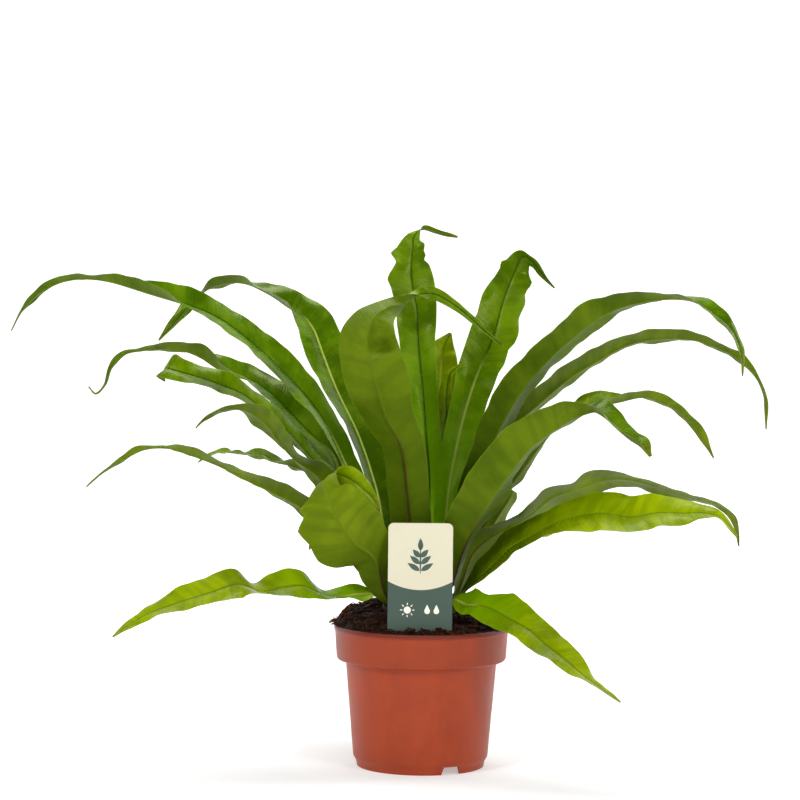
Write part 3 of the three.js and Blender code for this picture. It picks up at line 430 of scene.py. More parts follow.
        (0.027, -0.011, 0.182, 0.022, -16), (0.036, -0.015, 0.207, 0.032, -20),
        (0.047, -0.02, 0.234, 0.034, -24), (0.062, -0.025, 0.261, 0.035, -27),
        (0.08, -0.031, 0.283, 0.037, -29), (0.097, -0.036, 0.299, 0.034, -27),
        (0.115, -0.041, 0.313, 0.032, -30), (0.134, -0.046, 0.321, 0.028, -26),
        (0.156, -0.05, 0.325, 0.023, -14), (0.176, -0.053, 0.324, 0.02, 12),
        (0.191, -0.055, 0.316, 0.016, 24), (0.204, -0.056, 0.304, 0.012, 26),
        (0.21, -0.056, 0.289, 0.009, 28), (0.211, -0.056, 0.272, 0.0018, 25),
    ]),
    Frond("right_long_lower", heading=0, fold=12, wave=(0.001, 6, 0.2), tone=0.15, stations=[
        (0.014, 0.001, 0.111, 0.004, 0), (0.02, 0.002, 0.152, 0.01, -8), (0.028, 0.003, 0.19, 0.018, -20),
        (0.042, 0.003, 0.218, 0.024, -28), (0.062, 0.003, 0.239, 0.028, -32),
        (0.08, 0.002, 0.255, 0.03, -34), (0.099, 0.001, 0.271, 0.028, -30),
        (0.119, -0.001, 0.283, 0.026, -27), (0.138, -0.003, 0.293, 0.025, -28),
        (0.16, -0.005, 0.297, 0.021, -26), (0.183, -0.007, 0.296, 0.018, -27),
        (0.201, -0.008, 0.29, 0.014, -29), (0.216, -0.009, 0.281, 0.01, -30),
        (0.226, -0.01, 0.27, 0.007, -30), (0.232, -0.01, 0.257, 0.005, -30),
        (0.233, -0.01, 0.234, 0.0016, -30),
    ]),
    Frond("front_right_broad", heading=-40, fold=26, wave=(0.0013, 4, 2), tone=0.06, lobes=[
        (0.21, 1, -0.007, 0.07), (0.37, 1, -0.006, 0.05), (0.43, 1, -0.008, 0.08), (0.51, 1, -0.004, 0.05),
    ], stations=[
        (0.008, -0.015, 0.11, 0.004, 0), (0.016, -0.02, 0.128, 0.02, -12),
        (0.025, -0.028, 0.158, 0.034, -24), (0.034, -0.037, 0.179, 0.042, -24),
        (0.043, -0.046, 0.196, 0.045, -22), (0.054, -0.055, 0.213, 0.045, -20),
        (0.068, -0.064, 0.231, 0.042, -20), (0.085, -0.072, 0.244, 0.039, -17),
        (0.099, -0.078, 0.252, 0.033, -6), (0.111, -0.083, 0.255, 0.029, 18),
        (0.12, -0.087, 0.25, 0.025, 16), (0.128, -0.091, 0.242, 0.022, 15),
        (0.136, -0.094, 0.235, 0.021, 16), (0.142, -0.096, 0.23, 0.017, 18),
        (0.147, -0.099, 0.221, 0.004, 14),
    ]),
    Frond("right_behind", heading=-6, fold=12, wave=(0.001, 5, 1.1), tone=0.3,
          creases=[(0.64, 20, 0.1)], stations=[
        (0.02, 0.005, 0.108, 0.004, 0), (0.028, 0.002, 0.148, 0.01, -8), (0.042, -0.004, 0.172, 0.018, -18),
        (0.054, -0.008, 0.192, 0.025, -26), (0.066, -0.012, 0.209, 0.029, -29),
        (0.078, -0.015, 0.226, 0.03, -24), (0.091, -0.018, 0.241, 0.029, -2),
        (0.109, -0.02, 0.253, 0.024, 16), (0.128, -0.022, 0.257, 0.02, 0),
        (0.147, -0.024, 0.258, 0.018, -20), (0.163, -0.025, 0.253, 0.015, -30),
        (0.175, -0.025, 0.246, 0.012, -38), (0.185, -0.025, 0.235, 0.009, -42),
        (0.196, -0.025, 0.215, 0.0016, -42),
    ]),
    Frond("right_wavy", heading=-12, fold=-4, wave=(0.0013, 5, 0.6), tone=0.35, lobes=[
        (0.36, -1, -0.003, 0.04), (0.44, -1, 0.002, 0.04), (0.51, -1, -0.003, 0.035),
        (0.56, -1, 0.003, 0.04),
    ], stations=[
        (0.019, -0.006, 0.107, 0.004, 0), (0.027, -0.004, 0.129, 0.019, -24),
        (0.034, -0.005, 0.147, 0.027, -38), (0.046, -0.008, 0.158, 0.028, -38),
        (0.06, -0.013, 0.166, 0.03, -26), (0.073, -0.019, 0.174, 0.029, -16),
        (0.087, -0.022, 0.186, 0.032, -28), (0.102, -0.025, 0.192, 0.031, -27),
        (0.118, -0.028, 0.198, 0.029, -28), (0.133, -0.03, 0.2, 0.026, -24),
        (0.151, -0.033, 0.197, 0.022, -24), (0.169, -0.036, 0.191, 0.017, -17),
        (0.186, -0.038, 0.187, 0.015, -22), (0.199, -0.04, 0.184, 0.011, -22),
        (0.208, -0.041, 0.176, 0.008, -24), (0.212, -0.042, 0.157, 0.0016, -24),
    ]),
    Frond("right_yellow", heading=-24, fold=8, wave=(0.0013, 4, 2.4), tone=0.85,
          painted_foot_light=0, pale_rib=0.08, slot="frond_pale", lobes=[
        (0.3, 1, 0.007, 0.15),
    ], stations=[
        (0.018, -0.013, 0.107, 0.004, 0), (0.026, -0.017, 0.122, 0.013, 20),
        (0.035, -0.024, 0.132, 0.02, 32), (0.046, -0.028, 0.143, 0.025, 34),
        (0.057, -0.033, 0.155, 0.028, 36), (0.071, -0.038, 0.164, 0.031, 34),
        (0.087, -0.043, 0.173, 0.029, 31), (0.104, -0.048, 0.179, 0.035, 40),
        (0.121, -0.052, 0.181, 0.038, 44), (0.137, -0.056, 0.179, 0.035, 43),
        (0.155, -0.059, 0.182, 0.029, 43), (0.172, -0.062, 0.182, 0.025, 41),
        (0.186, -0.064, 0.182, 0.017, 34), (0.197, -0.065, 0.179, 0.01, 30),
        (0.208, -0.065, 0.166, 0.0016, 30),
    ]),
    Frond("lower_right", heading=318, fold=8, wave=(0.0011, 4, 1), tone=0.9,
          painted_foot_light=0.7, pale_rib=0.3, slot="frond_pale", lobes=[
        (0.25, 1, 0.003, 0.05), (0.33, 1, -0.003, 0.04), (0.42, 1, 0.003, 0.06),
    ], stations=[
        (0.014, -0.021, 0.108, 0.004, 0), (0.021, -0.027, 0.118, 0.009, 30),
        (0.03, -0.032, 0.116, 0.022, 40), (0.039, -0.038, 0.117, 0.027, 32),
        (0.049, -0.046, 0.114, 0.031, 40), (0.06, -0.055, 0.109, 0.031, 34),
        (0.071, -0.064, 0.104, 0.03, 20), (0.082, -0.074, 0.095, 0.028, 26),
        (0.094, -0.084, 0.087, 0.024, 20), (0.105, -0.093, 0.078, 0.016, 10), (0.116, -0.1, 0.07, 0.01, 6),
        (0.129, -0.107, 0.061, 0.0016, 4),
    ]),
    Frond("right_pale", heading=12, fold=14, wave=(0.001, 3, 0), tone=0.5, stations=[
        (0.019, 0.013, 0.107, 0.004, 0), (0.034, 0.012, 0.14, 0.009, -20),
        (0.043, 0.012, 0.158, 0.016, -50), (0.05, 0.012, 0.171, 0.021, -60),
        (0.058, 0.012, 0.183, 0.018, -60), (0.062, 0.012, 0.189, 0.008, -60),
    ]),
    Frond("back_right_low", heading=32, fold=12, wave=(0.0024, 5, 0.5), tone=0.3, stations=[
        (0.014, 0.015, 0.108, 0.004, 0), (0.036, 0.03, 0.128, 0.01, 0), (0.06, 0.048, 0.145, 0.018, 0),
        (0.088, 0.068, 0.158, 0.023, 0), (0.118, 0.088, 0.166, 0.024, 0), (0.146, 0.106, 0.168, 0.019, 0),
        (0.17, 0.12, 0.167, 0.012, 0), (0.184, 0.128, 0.166, 0.0018, 0),
    ]),
    Frond("back_right", heading=72, fold=13, wave=(0.0022, 5, 1.4), tone=0.3, stations=[
        (0.007, 0.018, 0.108, 0.004, 0), (0.017, 0.04, 0.148, 0.012, 0), (0.027, 0.066, 0.184, 0.023, 4),
        (0.037, 0.098, 0.206, 0.029, 6), (0.045, 0.128, 0.208, 0.027, 4), (0.051, 0.154, 0.195, 0.02, 0),
        (0.055, 0.174, 0.172, 0.011, 0), (0.056, 0.186, 0.15, 0.0018, 0),
    ]),
    Frond("back_left", heading=104, fold=13, wave=(0.0022, 5, 2.3), tone=0.3, stations=[
        (-0.005, 0.022, 0.107, 0.004, 0), (-0.009, 0.042, 0.152, 0.012, 0),
        (-0.013, 0.072, 0.193, 0.024, 0), (-0.018, 0.105, 0.214, 0.03, -4),
        (-0.022, 0.138, 0.213, 0.028, -4), (-0.026, 0.166, 0.196, 0.021, 0),
        (-0.029, 0.186, 0.17, 0.012, 0), (-0.03, 0.196, 0.148, 0.0018, 0),
    ]),
    Frond("back_left_low", heading=122, fold=12, wave=(0.0024, 5, 0.1), tone=0.3, stations=[
        (-0.011, 0.015, 0.108, 0.004, 0), (-0.023, 0.036, 0.136, 0.011, 0),
        (-0.034, 0.062, 0.162, 0.023, -4), (-0.048, 0.092, 0.175, 0.028, -6),
        (-0.062, 0.118, 0.172, 0.025, -4), (-0.074, 0.14, 0.155, 0.016, 0),
        (-0.082, 0.155, 0.132, 0.0018, 0),
    ]),
    Frond("left_back_short", heading=134, fold=12, wave=(0.0014, 3, 0.6), tone=0.3, stations=[
        (-0.016, 0.012, 0.108, 0.004, 0), (-0.03, 0.026, 0.129, 0.01, 0), (-0.041, 0.041, 0.143, 0.02, 0),
        (-0.051, 0.056, 0.151, 0.02, 0), (-0.06, 0.07, 0.15, 0.013, 0), (-0.067, 0.081, 0.143, 0.0018, 0),
    ]),
]


# Helpers for meshes

def add_object(name, data):
    made = bpy.data.objects.new(name, data)
    bpy.context.scene.collection.objects.link(made)
    return made


def add_piece(name, vertices, faces, materials, node=None, face_slots=None, sharp=40):
    """Makes a mesh object that rides on the root body and may stand for one solid of the frame."""
    mesh = bpy.data.meshes.new(name)
    mesh.from_pydata(vertices, [], faces)
    for material in materials:
        mesh.materials.append(material)
    if face_slots is not None:
        mesh.polygons.foreach_set("material_index", face_slots)
    mesh.polygons.foreach_set("use_smooth", [True] * len(mesh.polygons))
    mesh.set_sharp_from_angle(angle=math.radians(sharp))
    mesh.update()
    piece = add_object(name, mesh)
    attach(piece, "root")
    if node:
        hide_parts(node)
    return piece


def set_values(piece, name, values):
    """Gives every vertex of a piece its own value under a name, for the material to read."""
    attribute = piece.data.attributes.new(name, "FLOAT", "POINT")
    attribute.data.foreach_set("value", np.asarray(values, dtype=np.float32))


def turned(profile, sides):
    """Vertices and faces of a surface of revolution whose profile starts and ends on the axis."""
    vertices = [(0.0, 0.0, profile[0][1])]
    rings = []
    for radius, height in profile[1:-1]:
        rings.append(len(vertices))
        for i in range(sides):
            angle = 2 * math.pi * i / sides
            vertices.append((radius * math.cos(angle), radius * math.sin(angle), height))
    vertices.append((0.0, 0.0, profile[-1][1]))
    last = len(vertices) - 1
    faces = []
    for i in range(sides):
        j = (i + 1) % sides
        faces.append((0, rings[0] + j, rings[0] + i))
        for low, high in zip(rings, rings[1:]):
            faces.append((low + i, low + j, high + j, high + i))
        faces.append((rings[-1] + i, rings[-1] + j, last))
    return vertices, faces


def rounded(profile, radius):
    """Rounds each inner corner of a profile with a small arc of about the given radius."""
    result = [profile[0]]
    for before, corner, after in zip(profile, profile[1:], profile[2:]):
        corner = Vector(corner)
        back = Vector(before) - corner
        on = Vector(after) - corner
        reach = min(radius, back.length * 0.45, on.length * 0.45)
        start = corner + back.normalized() * reach
        end = corner + on.normalized() * reach
        for k in range(ROUNDING_STEPS + 1):
            share = k / ROUNDING_STEPS
            point = start.lerp(corner, share).lerp(corner.lerp(end, share), share)
            result.append((point.x, point.y))
    result.append(profile[-1])
    return result


def cut(piece, cutter):
    """Cuts one mesh object out of another and removes the cutter."""
    modifier = piece.modifiers.new("cut", "BOOLEAN")
    modifier.operation = "DIFFERENCE"
    modifier.solver = "EXACT"
    modifier.object = cutter
    bpy.context.view_layer.update()
    shape = piece.evaluated_get(bpy.context.evaluated_depsgraph_get())
    mesh = bpy.data.meshes.new_from_object(shape)
    piece.modifiers.remove(modifier)
    old = piece.data
    piece.data = mesh
    mesh.name = old.name
    bpy.data.meshes.remove(old)
    bpy.data.objects.remove(cutter)


# Helpers for materials

def srgb(red, green, blue):
    """A colour given as it looks on a screen, from 0 to 255, as the shader needs it."""
    def linear(value):
        share = value / 255
        return share / 12.92 if share <= 0.04045 else ((share + 0.055) / 1.055) ** 2.4
    return (linear(red), linear(green), linear(blue), 1.0)


def add_node(tree, kind, inputs, **settings):
    made = tree.nodes.new(kind)
    for key, value in settings.items():
        setattr(made, key, value)
    for key, value in inputs.items():
        if isinstance(value, bpy.types.NodeSocket):
            tree.links.new(value, made.inputs[key])
        else:
            made.inputs[key].default_value = value
    return made


def calc(tree, operation, first, second=0.0):
    return add_node(tree, "ShaderNodeMath", {0: first, 1: second}, operation=operation).outputs[0]


def spread(tree, value, low, high, to_low=0.0, to_high=1.0, smooth=True):
    """Maps low..high of a value onto to_low..to_high."""
    kind = "SMOOTHSTEP" if smooth else "LINEAR"
    inputs = {"Value": value, "From Min": low, "From Max": high, "To Min": to_low, "To Max": to_high}
    return add_node(tree, "ShaderNodeMapRange", inputs, interpolation_type=kind).outputs[0]


def mix(tree, share, first, second):
    return add_node(tree, "ShaderNodeMix", {0: share, 6: first, 7: second}, data_type="RGBA").outputs[2]


def mix_pair(tree, share, colours):
    return mix(tree, share, srgb(*colours[0]), srgb(*colours[1]))


def stain(tree, colour, value, low, high, most, tint):
    """Lays a tint over a colour: none of it where a value is low, most of it where the value is high."""
    return mix(tree, spread(tree, value, low, high, 0.0, most), colour, srgb(*tint))


def read(tree, name):
    return add_node(tree, "ShaderNodeAttribute", {}, attribute_name=name).outputs["Fac"]


def place_in(tree):
    return add_node(tree, "ShaderNodeTexCoord", {}).outputs["Object"]


def cloud(tree, place, scale, detail=3.0, roughness=0.5):
    inputs = {"Vector": place, "Scale": scale, "Detail": detail, "Roughness": roughness}
    return add_node(tree, "ShaderNodeTexNoise", inputs).outputs["Fac"]


def new_material(name, roughness, specular=0.5):
    material = bpy.data.materials.new(name)
    material.use_nodes = True
    tree = material.node_tree
    shader = tree.nodes["Principled BSDF"]
    shader.inputs["Roughness"].default_value = roughness
    shader.inputs["Specular IOR Level"].default_value = specular
    return material, tree, shader


def set_bump(tree, shader, height, distance, strength):
    bump = add_node(tree, "ShaderNodeBump", {"Height": height, "Distance": distance, "Strength": strength})
    tree.links.new(bump.outputs["Normal"], shader.inputs["Normal"])


# Materials

def blade_colour(tree, look, patches, streaks, pleat_shade, wave):
    """The blade without its midrib: cloudy and streaked, with painted shade and painted light, and changed
    at its foot, tip and margins.
    """
    tone = read(tree, "tone")
    along = read(tree, "along")
    across = calc(tree, "ABSOLUTE", read(tree, "across"))
    base = mix_pair(tree, tone, (look["green"], look["yellow"]))
    lighter = mix_pair(tree, tone, (look["light_green"], look["light_yellow"]))
    colour = mix(tree, spread(tree, patches, 0.36, 0.64), base, lighter)
    colour = mix(tree, spread(tree, wave, 0.5, 1.0, 0.0, 0.09), colour, lighter)
    colour = mix(tree, spread(tree, streaks, 0.5, 0.75, 0.0, 0.24), colour, lighter)
    # Bands of painted shade across the side veins, as from shallow pleats
    colour = stain(tree, colour, pleat_shade, 0.42, 0.62, 0.22, look["painted_shade"])
    # Near its foot the blade takes painted shade where its foot value is low and painted light where it is
    # high
    foot = mix_pair(tree, read(tree, "painted_foot_light"), (look["painted_shade"], look["painted_lit_foot"]))
    past_foot = calc(tree, "SUBTRACT", along, calc(tree, "MULTIPLY", tone, 0.2))
    colour = mix(tree, spread(tree, past_foot, 0.1, 0.45, 0.75, 0.0), colour, foot)
    colour = stain(tree, colour, along, 0.9, 1.0, 0.35, WITHERED_TIP)
    return stain(tree, colour, across, 0.965, 1.0, 0.4, look["pale_rib"])


def rib_colour(tree, look):
    """The midrib: one colour at its foot, a pale one after it, and a third further out, which on the upper
    face is painted shadow in its groove.
    """
    along = read(tree, "along")
    in_yellow = spread(tree, read(tree, "tone"), 0.3, 0.8)
    # On the upper face this dark green is painted shadow in the midrib's groove
    dark = mix_pair(tree, in_yellow, (look["green_rib"], look["yellow_rib"]))
    beyond_pale = spread(tree, calc(tree, "SUBTRACT", along, read(tree, "pale_rib")), -0.06, 0.06)
    rib = mix(tree, beyond_pale, srgb(*look["pale_rib"]), dark)
    at_foot = spread(tree, along, look["rib_foot_until"] * 0.6, look["rib_foot_until"], 1.0, 0.0)
    return mix(tree, at_foot, rib, srgb(*look["rib_foot"]))


def leaf_material(name, look):
    """A blade's face: fine slanted side veins, a midrib, cloudy variation with painted shade and painted
    light, and a waxy or dull gloss.
    """
    material, tree, shader = new_material(name, look["roughness"], look["specular"])
    place = place_in(tree)
    out = read(tree, "out")
    vein = read(tree, "vein")
    bent = calc(tree, "ADD", vein, calc(tree, "MULTIPLY", cloud(tree, place, 60.0, 2.0), 0.006))
    wave = calc(tree, "SINE", calc(tree, "MULTIPLY", bent, 2 * math.pi / VEIN_SPACING))
    stretched_out = calc(tree, "MULTIPLY", out, 0.1)
    own_slice = calc(tree, "MULTIPLY", read(tree, "tone"), 0.1)
    parts = {"X": vein, "Y": stretched_out, "Z": own_slice}
    along_veins = add_node(tree, "ShaderNodeCombineXYZ", parts).outputs[0]
    streaks = cloud(tree, along_veins, 900.0, 3.0, 0.6)
    # Where painted shade of shallow pleats falls across the side veins
    pleat_shade = cloud(tree, along_veins, 150.0, 2.0)
    patches = cloud(tree, place, 34.0, 4.0, 0.55)
    blade = blade_colour(tree, look, patches, streaks, pleat_shade, wave)
    rib_width = spread(tree, read(tree, "along"), 0.0, 1.0, 0.001, 0.00035, smooth=False)
    stripe = spread(tree, calc(tree, "DIVIDE", out, rib_width), 0.7, 1.5, 0.85, 0.0)
    tree.links.new(mix(tree, stripe, blade, rib_colour(tree, look)), shader.inputs["Base Color"])
    cloudy = spread(tree, patches, 0.3, 0.7, look["roughness"] - 0.05, look["roughness"] + 0.1)
    streaky = spread(tree, streaks, 0.3, 0.7, -0.05, 0.07)
    tree.links.new(calc(tree, "ADD", cloudy, streaky), shader.inputs["Roughness"])
    specks = calc(tree, "MULTIPLY", cloud(tree, place, 900.0, 2.0), 0.2)
    height = calc(tree, "ADD", calc(tree, "MULTIPLY", wave, 0.12), specks)
    set_bump(tree, shader, calc(tree, "ADD", height, streaks), 0.0003, 0.5)
    shader.inputs["Specular Tint"].default_value = look["tint"]
    shader.inputs["Subsurface Weight"].default_value = LIGHT_THROUGH
    shader.inputs["Subsurface Radius"].default_value = LIGHT_THROUGH_COLOUR
    shader.inputs["Subsurface Scale"].default_value = LIGHT_THROUGH_DEPTH
    return material


def pot_material():
    """Satin moulded plastic with faint flow lines, scuffs and specks of soil near the rim."""
    material, tree, shader = new_material("terracotta_plastic", 0.42, 0.3)
    place = place_in(tree)
    split = add_node(tree, "ShaderNodeSeparateXYZ", {0: place})
    height = split.outputs["Z"]
    stretched = add_node(tree, "ShaderNodeMapping", {"Vector": place, "Scale": (1.0, 1.0, 0.12)}).outputs[0]
    flow = cloud(tree, stretched, 120.0, 3.0)
    mottle = cloud(tree, place, 45.0, 5.0, 0.6)
    colour = mix_pair(tree, spread(tree, mottle, 0.3, 0.7), (TERRACOTTA, LIGHT_TERRACOTTA))
    colour = stain(tree, colour, flow, 0.45, 0.75, 0.16, FLOW_LINE)
    colour = stain(tree, colour, height, COLLAR_BOTTOM - 0.001, COLLAR_BOTTOM + 0.0005, 0.25, COLLAR_SHADE)
    colour = stain(tree, colour, height, POT_HEIGHT - 0.0035, POT_HEIGHT - 0.002, 0.85, RIM_SHADE)
    specks = cloud(tree, place, 420.0, 1.0)
    near_rim = spread(tree, height, POT_HEIGHT - 0.042, POT_HEIGHT - 0.002)
    dots = calc(tree, "MULTIPLY", spread(tree, specks, 0.76, 0.79), near_rim)
    colour = mix(tree, dots, colour, srgb(*SOIL_SPECK))
    tree.links.new(colour, shader.inputs["Base Color"])
    scuff = calc(tree, "MULTIPLY", cloud(tree, stretched, 600.0, 2.0), 0.06)
    rough = calc(tree, "ADD", spread(tree, mottle, 0.3, 0.7, 0.34, 0.46), scuff)
    tree.links.new(rough, shader.inputs["Roughness"])
    grain = cloud(tree, place, 2600.0, 2.0)
    relief = calc(tree, "ADD", calc(tree, "MULTIPLY", flow, 0.6), calc(tree, "MULTIPLY", grain, 0.25))
    set_bump(tree, shader, relief, 0.00025, 0.35)
    return material


def soil_material(name, colours, scale):
    """Moist peat: near black with brown and reddish bits, rough and grainy."""
    material, tree, shader = new_material(name, 0.85, 0.18)
    place = place_in(tree)
    grains = cloud(tree, place, scale, 6.0, 0.7)
    patches = cloud(tree, place, scale * 0.22, 3.0)
    colour = mix_pair(tree, spread(tree, grains, 0.42, 0.66), colours)
    colour = stain(tree, colour, patches, 0.45, 0.7, 0.5, WET_PEAT)
    tree.links.new(colour, shader.inputs["Base Color"])
    tree.links.new(spread(tree, grains, 0.3, 0.7, 0.4, 0.9), shader.inputs["Roughness"])
    set_bump(tree, shader, grains, 0.0012, 0.8)
    return material


def tag_material():
    """Smooth printed card: a cream field above a grey-green one, with a bowed edge between them."""
    material, tree, shader = new_material("tag_card", 0.42)
    place = place_in(tree)
    split = add_node(tree, "ShaderNodeSeparateXYZ", {0: place})
    side = calc(tree, "SUBTRACT", split.outputs["X"], TAG_CENTRE_X)
    bow = calc(tree, "MULTIPLY", calc(tree, "MULTIPLY", side, side), 4 * TAG_FIELD_SAG / TAG_WIDTH ** 2)
    edge = calc(tree, "ADD", bow, TAG_FIELD_EDGE_Z - TAG_FIELD_SAG)
    above = calc(tree, "SUBTRACT", split.outputs["Z"], edge)
    fibre = cloud(tree, place, 700.0, 4.0)
    in_cream = spread(tree, above, -0.00008, 0.00008)
    colour = mix(tree, in_cream, mix_pair(tree, fibre, GREY_GREEN), mix_pair(tree, fibre, CREAM))
    tree.links.new(colour, shader.inputs["Base Color"])
    tree.links.new(spread(tree, fibre, 0.3, 0.7, 0.36, 0.48), shader.inputs["Roughness"])
    set_bump(tree, shader, fibre, 0.00003, 0.6)
    return material


def ink_material(name, colour):
    """Printed ink, a little uneven in its cover."""
    material, tree, shader = new_material(name, 0.4)
    cover = cloud(tree, place_in(tree), 1500.0)
    full = srgb(*colour)
    thin = tuple(min(1.0, part * 1.25 + 0.01) for part in full[:3]) + (1.0,)
    uneven = mix(tree, spread(tree, cover, 0.4, 0.75, 0.0, 0.4), full, thin)
    tree.links.new(uneven, shader.inputs["Base Color"])
    return material


def scale_material():
    """Dry brown scales that cover the crown."""
    material, tree, shader = new_material("crown_scales", 0.8, 0.3)
    place = place_in(tree)
    stretched = add_node(tree, "ShaderNodeMapping", {"Vector": place, "Scale": (1.0, 1.0, 0.3)}).outputs[0]
    strands = cloud(tree, stretched, 900.0, 4.0, 0.6)
    colour = mix_pair(tree, spread(tree, strands, 0.35, 0.7), DRY_SCALE)
    tree.links.new(colour, shader.inputs["Base Color"])
    set_bump(tree, shader, strands, 0.0005, 0.8)
    return material


# Fronds

def cubic(start, end, leave, arrive, share):
    """The point at a share of a cubic that leaves and arrives with the given slopes."""
    bend = 3 * (end - start) - 2 * leave - arrive
    twist = 2 * (start - end) + leave + arrive
    return start + leave * share + bend * share ** 2 + twist * share ** 3


def curve_through(points, count, by_distance):
    """count + 1 points of a smooth curve through the given ones, at even steps from one to the next."""
    knots = [2 * points[0] - points[1], *points, 2 * points[-1] - points[-2]]
    result = []
    for k in range(count + 1):
        place = k / count * (len(points) - 1)
        i = min(int(place), len(points) - 2)
        p0, p1, p2, p3 = knots[i:i + 4]
        if by_distance:
            a, b, c = (math.sqrt(np.linalg.norm(q - p)) for p, q in ((p0, p1), (p1, p2), (p2, p3)))
            leave = ((p1 - p0) / a - (p2 - p0) / (a + b) + (p2 - p1) / b) * b
            arrive = ((p2 - p1) / b - (p3 - p1) / (b + c) + (p3 - p2) / c) * b
        else:
            leave = (p2 - p0) / 2
            arrive = (p3 - p1) / 2
        result.append(cubic(p1, p2, leave, arrive, place - i))
    return np.array(result)


def turn(vector, axis, angle):
    """Turns a vector about an axis of length one."""
    return (vector * math.cos(angle) + np.cross(axis, vector) * math.sin(angle)
            + axis * (axis @ vector) * (1 - math.cos(angle)))


def frond_rows(frond):
    """Place, side, up, width, share along and distance along for every fine row of a frond."""
    stations = [np.array(station) for station in frond.stations]
    foot = stations[0] + (stations[1] - stations[0]) * FOOT_SHARE
    foot[3] = NEAR_FOOT_WIDTH
    stations.insert(1, foot)
    count = (len(stations) - 1) * ROWS_PER_STATION
    places = curve_through([station[:3] for station in stations], count, True)
    shapes = curve_through([station[3:] for station in stations], count, False)
    heading = math.radians(frond.heading)
    carried = np.array([-math.sin(heading), math.cos(heading), 0.0])
    distance = 0.0
    rows = []
    for k, place in enumerate(places):
        ahead = places[min(k + 1, count)] - places[max(k - 1, 0)]
        ahead = ahead / np.linalg.norm(ahead)
        carried = carried - ahead * (carried @ ahead)
        carried = carried / np.linalg.norm(carried)
        side = turn(carried, ahead, math.radians(shapes[k][1]))
        if k:
            distance += np.linalg.norm(place - places[k - 1])
        width = max(shapes[k][0], TIP_WIDTH)
        rows.append((place, side, np.cross(ahead, side), width, k / count, distance))
    return rows


def blade_columns(half):
    """Shares across a blade: close together over the midrib, then even out to both margins."""
    near = min(0.22, 0.5 * RIB_HALF / half)
    far = min(0.45, RIB_HALF / half)
    outer = [far + (1 - far) * i / (BLADE_COLUMNS - 1) for i in range(1, BLADE_COLUMNS)]
    right = [near, far, *outer]
    return np.array([-x for x in reversed(right)] + [0.0] + right)


def margin_waves(frond, along, distance, across, seed):
    """The broad waves of the solid and the finer crinkle between them."""
    height, waves, phase = frond.wave
    shift = np.where(across < 0, OTHER_MARGIN_SHIFT, 0.0)
    broad = height * np.sin(2 * math.pi * waves * along + phase + shift) * across ** 2
    fine = 0.0
    for length, share in CRINKLES:
        fine = fine + share * np.sin(2 * math.pi * distance / length + seed * length * 900 + shift * 2)
    return broad + CRINKLE * fine * np.abs(across) ** 3


def quilting(distance, out, seed):
    """Broad shallow dents and swells of the blade, none on the midrib."""
    places = [Vector((distance / QUILT_SIZE, side / QUILT_SIZE, seed * 3)) for side in out]
    swells = np.array([noise.noise(place) for place in places])
    return QUILT * swells * np.clip(np.abs(out) / (3 * RIB_HALF), 0, 1)


def fade_out(distance):
    """Falls smoothly from 1 at 0 to 0 at 1 and at -1."""
    return np.cos(math.pi / 2 * np.minimum(1, np.abs(distance))) ** 2


def blade_row(frond, row, seed):
    """Upper and lower points of one row, with the values that the material reads."""
    place, side, up, width, along, distance = row
    half = width / 2
    across = blade_columns(half)
    size = np.abs(across)
    creased = sum(extra * fade_out((along - at) / reach) for at, extra, reach in frond.creases)
    fold = math.radians(frond.fold + creased + FOLD_AT_FOOT * (1 - along) ** 4)
    envelope = min(1, 3 * along) * min(1, half / FULL_WAVE_HALF)
    jut = np.zeros(len(across))
    for at, lobe_side, extra, reach in frond.lobes:
        jut += np.where(lobe_side * across > 0, extra * max(0, 1 - abs(along - at) / reach), 0) * size ** 2
    out = across * (half * math.cos(fold) + jut)
    vein = distance - np.abs(out) * VEIN_SLANT
    lift = (size - 1) * half * math.sin(fold) + ARCH * half * np.sin(math.pi * size)
    lift += envelope * margin_waves(frond, along, distance, across, seed)
    lift += PLEAT * envelope * np.sin(2 * math.pi * vein / PLEAT_SPACING + seed) * np.sin(math.pi * size)
    lift += quilting(distance, out, seed) * envelope
    for at, middle_share, depth, before, after, reach in frond.hollows:
        lift += depth * fade_out((along - at) / (before if along < at else after)) \
            * fade_out((across - middle_share) / reach)
    thickness = BLADE_EDGE + (BLADE_MID - BLADE_EDGE) * (1 - size ** 2)
    ridge = np.clip(1 - (np.abs(out) / RIB_HALF) ** 2, 0, 1) * STEM_RIB * (1 - along) ** 1.5
    groove = np.clip(1 - np.abs(out) / RIB_HALF, 0, 1) * RIB_GROOVE
    middle = place + side * out[:, None]
    upper = middle + up * (lift + thickness / 2 - groove)[:, None]
    lower = middle + up * (lift - thickness / 2 - ridge)[:, None]
    return upper, lower, across, np.abs(out), vein


def blade_faces(rows, columns):
    """Quads of both faces, the margins and the ends, with 0 for the upper face and 1 for all others."""
    faces, face_slots = [], []
    stride = 2 * columns
    right = columns - 1
    for top in range(0, (rows - 1) * stride, stride):
        low = top + columns
        for c in range(right):
            faces.append((top + c, top + c + stride, top + c + 1 + stride, top + c + 1))
            faces.append((low + c, low + c + 1, low + c + 1 + stride, low + c + stride))
            face_slots.extend([0, 1])
        faces.append((low, low + stride, top + stride, top))
        faces.append((top + right, top + right + stride, low + right + stride, low + right))
        face_slots.extend([1, 1])
    for start, flip in ((0, False), ((rows - 1) * stride, True)):
        for c in range(right):
            face = (start + c, start + c + 1, start + columns + c + 1, start + columns + c)
            faces.append(tuple(reversed(face)) if flip else face)
            face_slots.append(1)
    return faces, face_slots


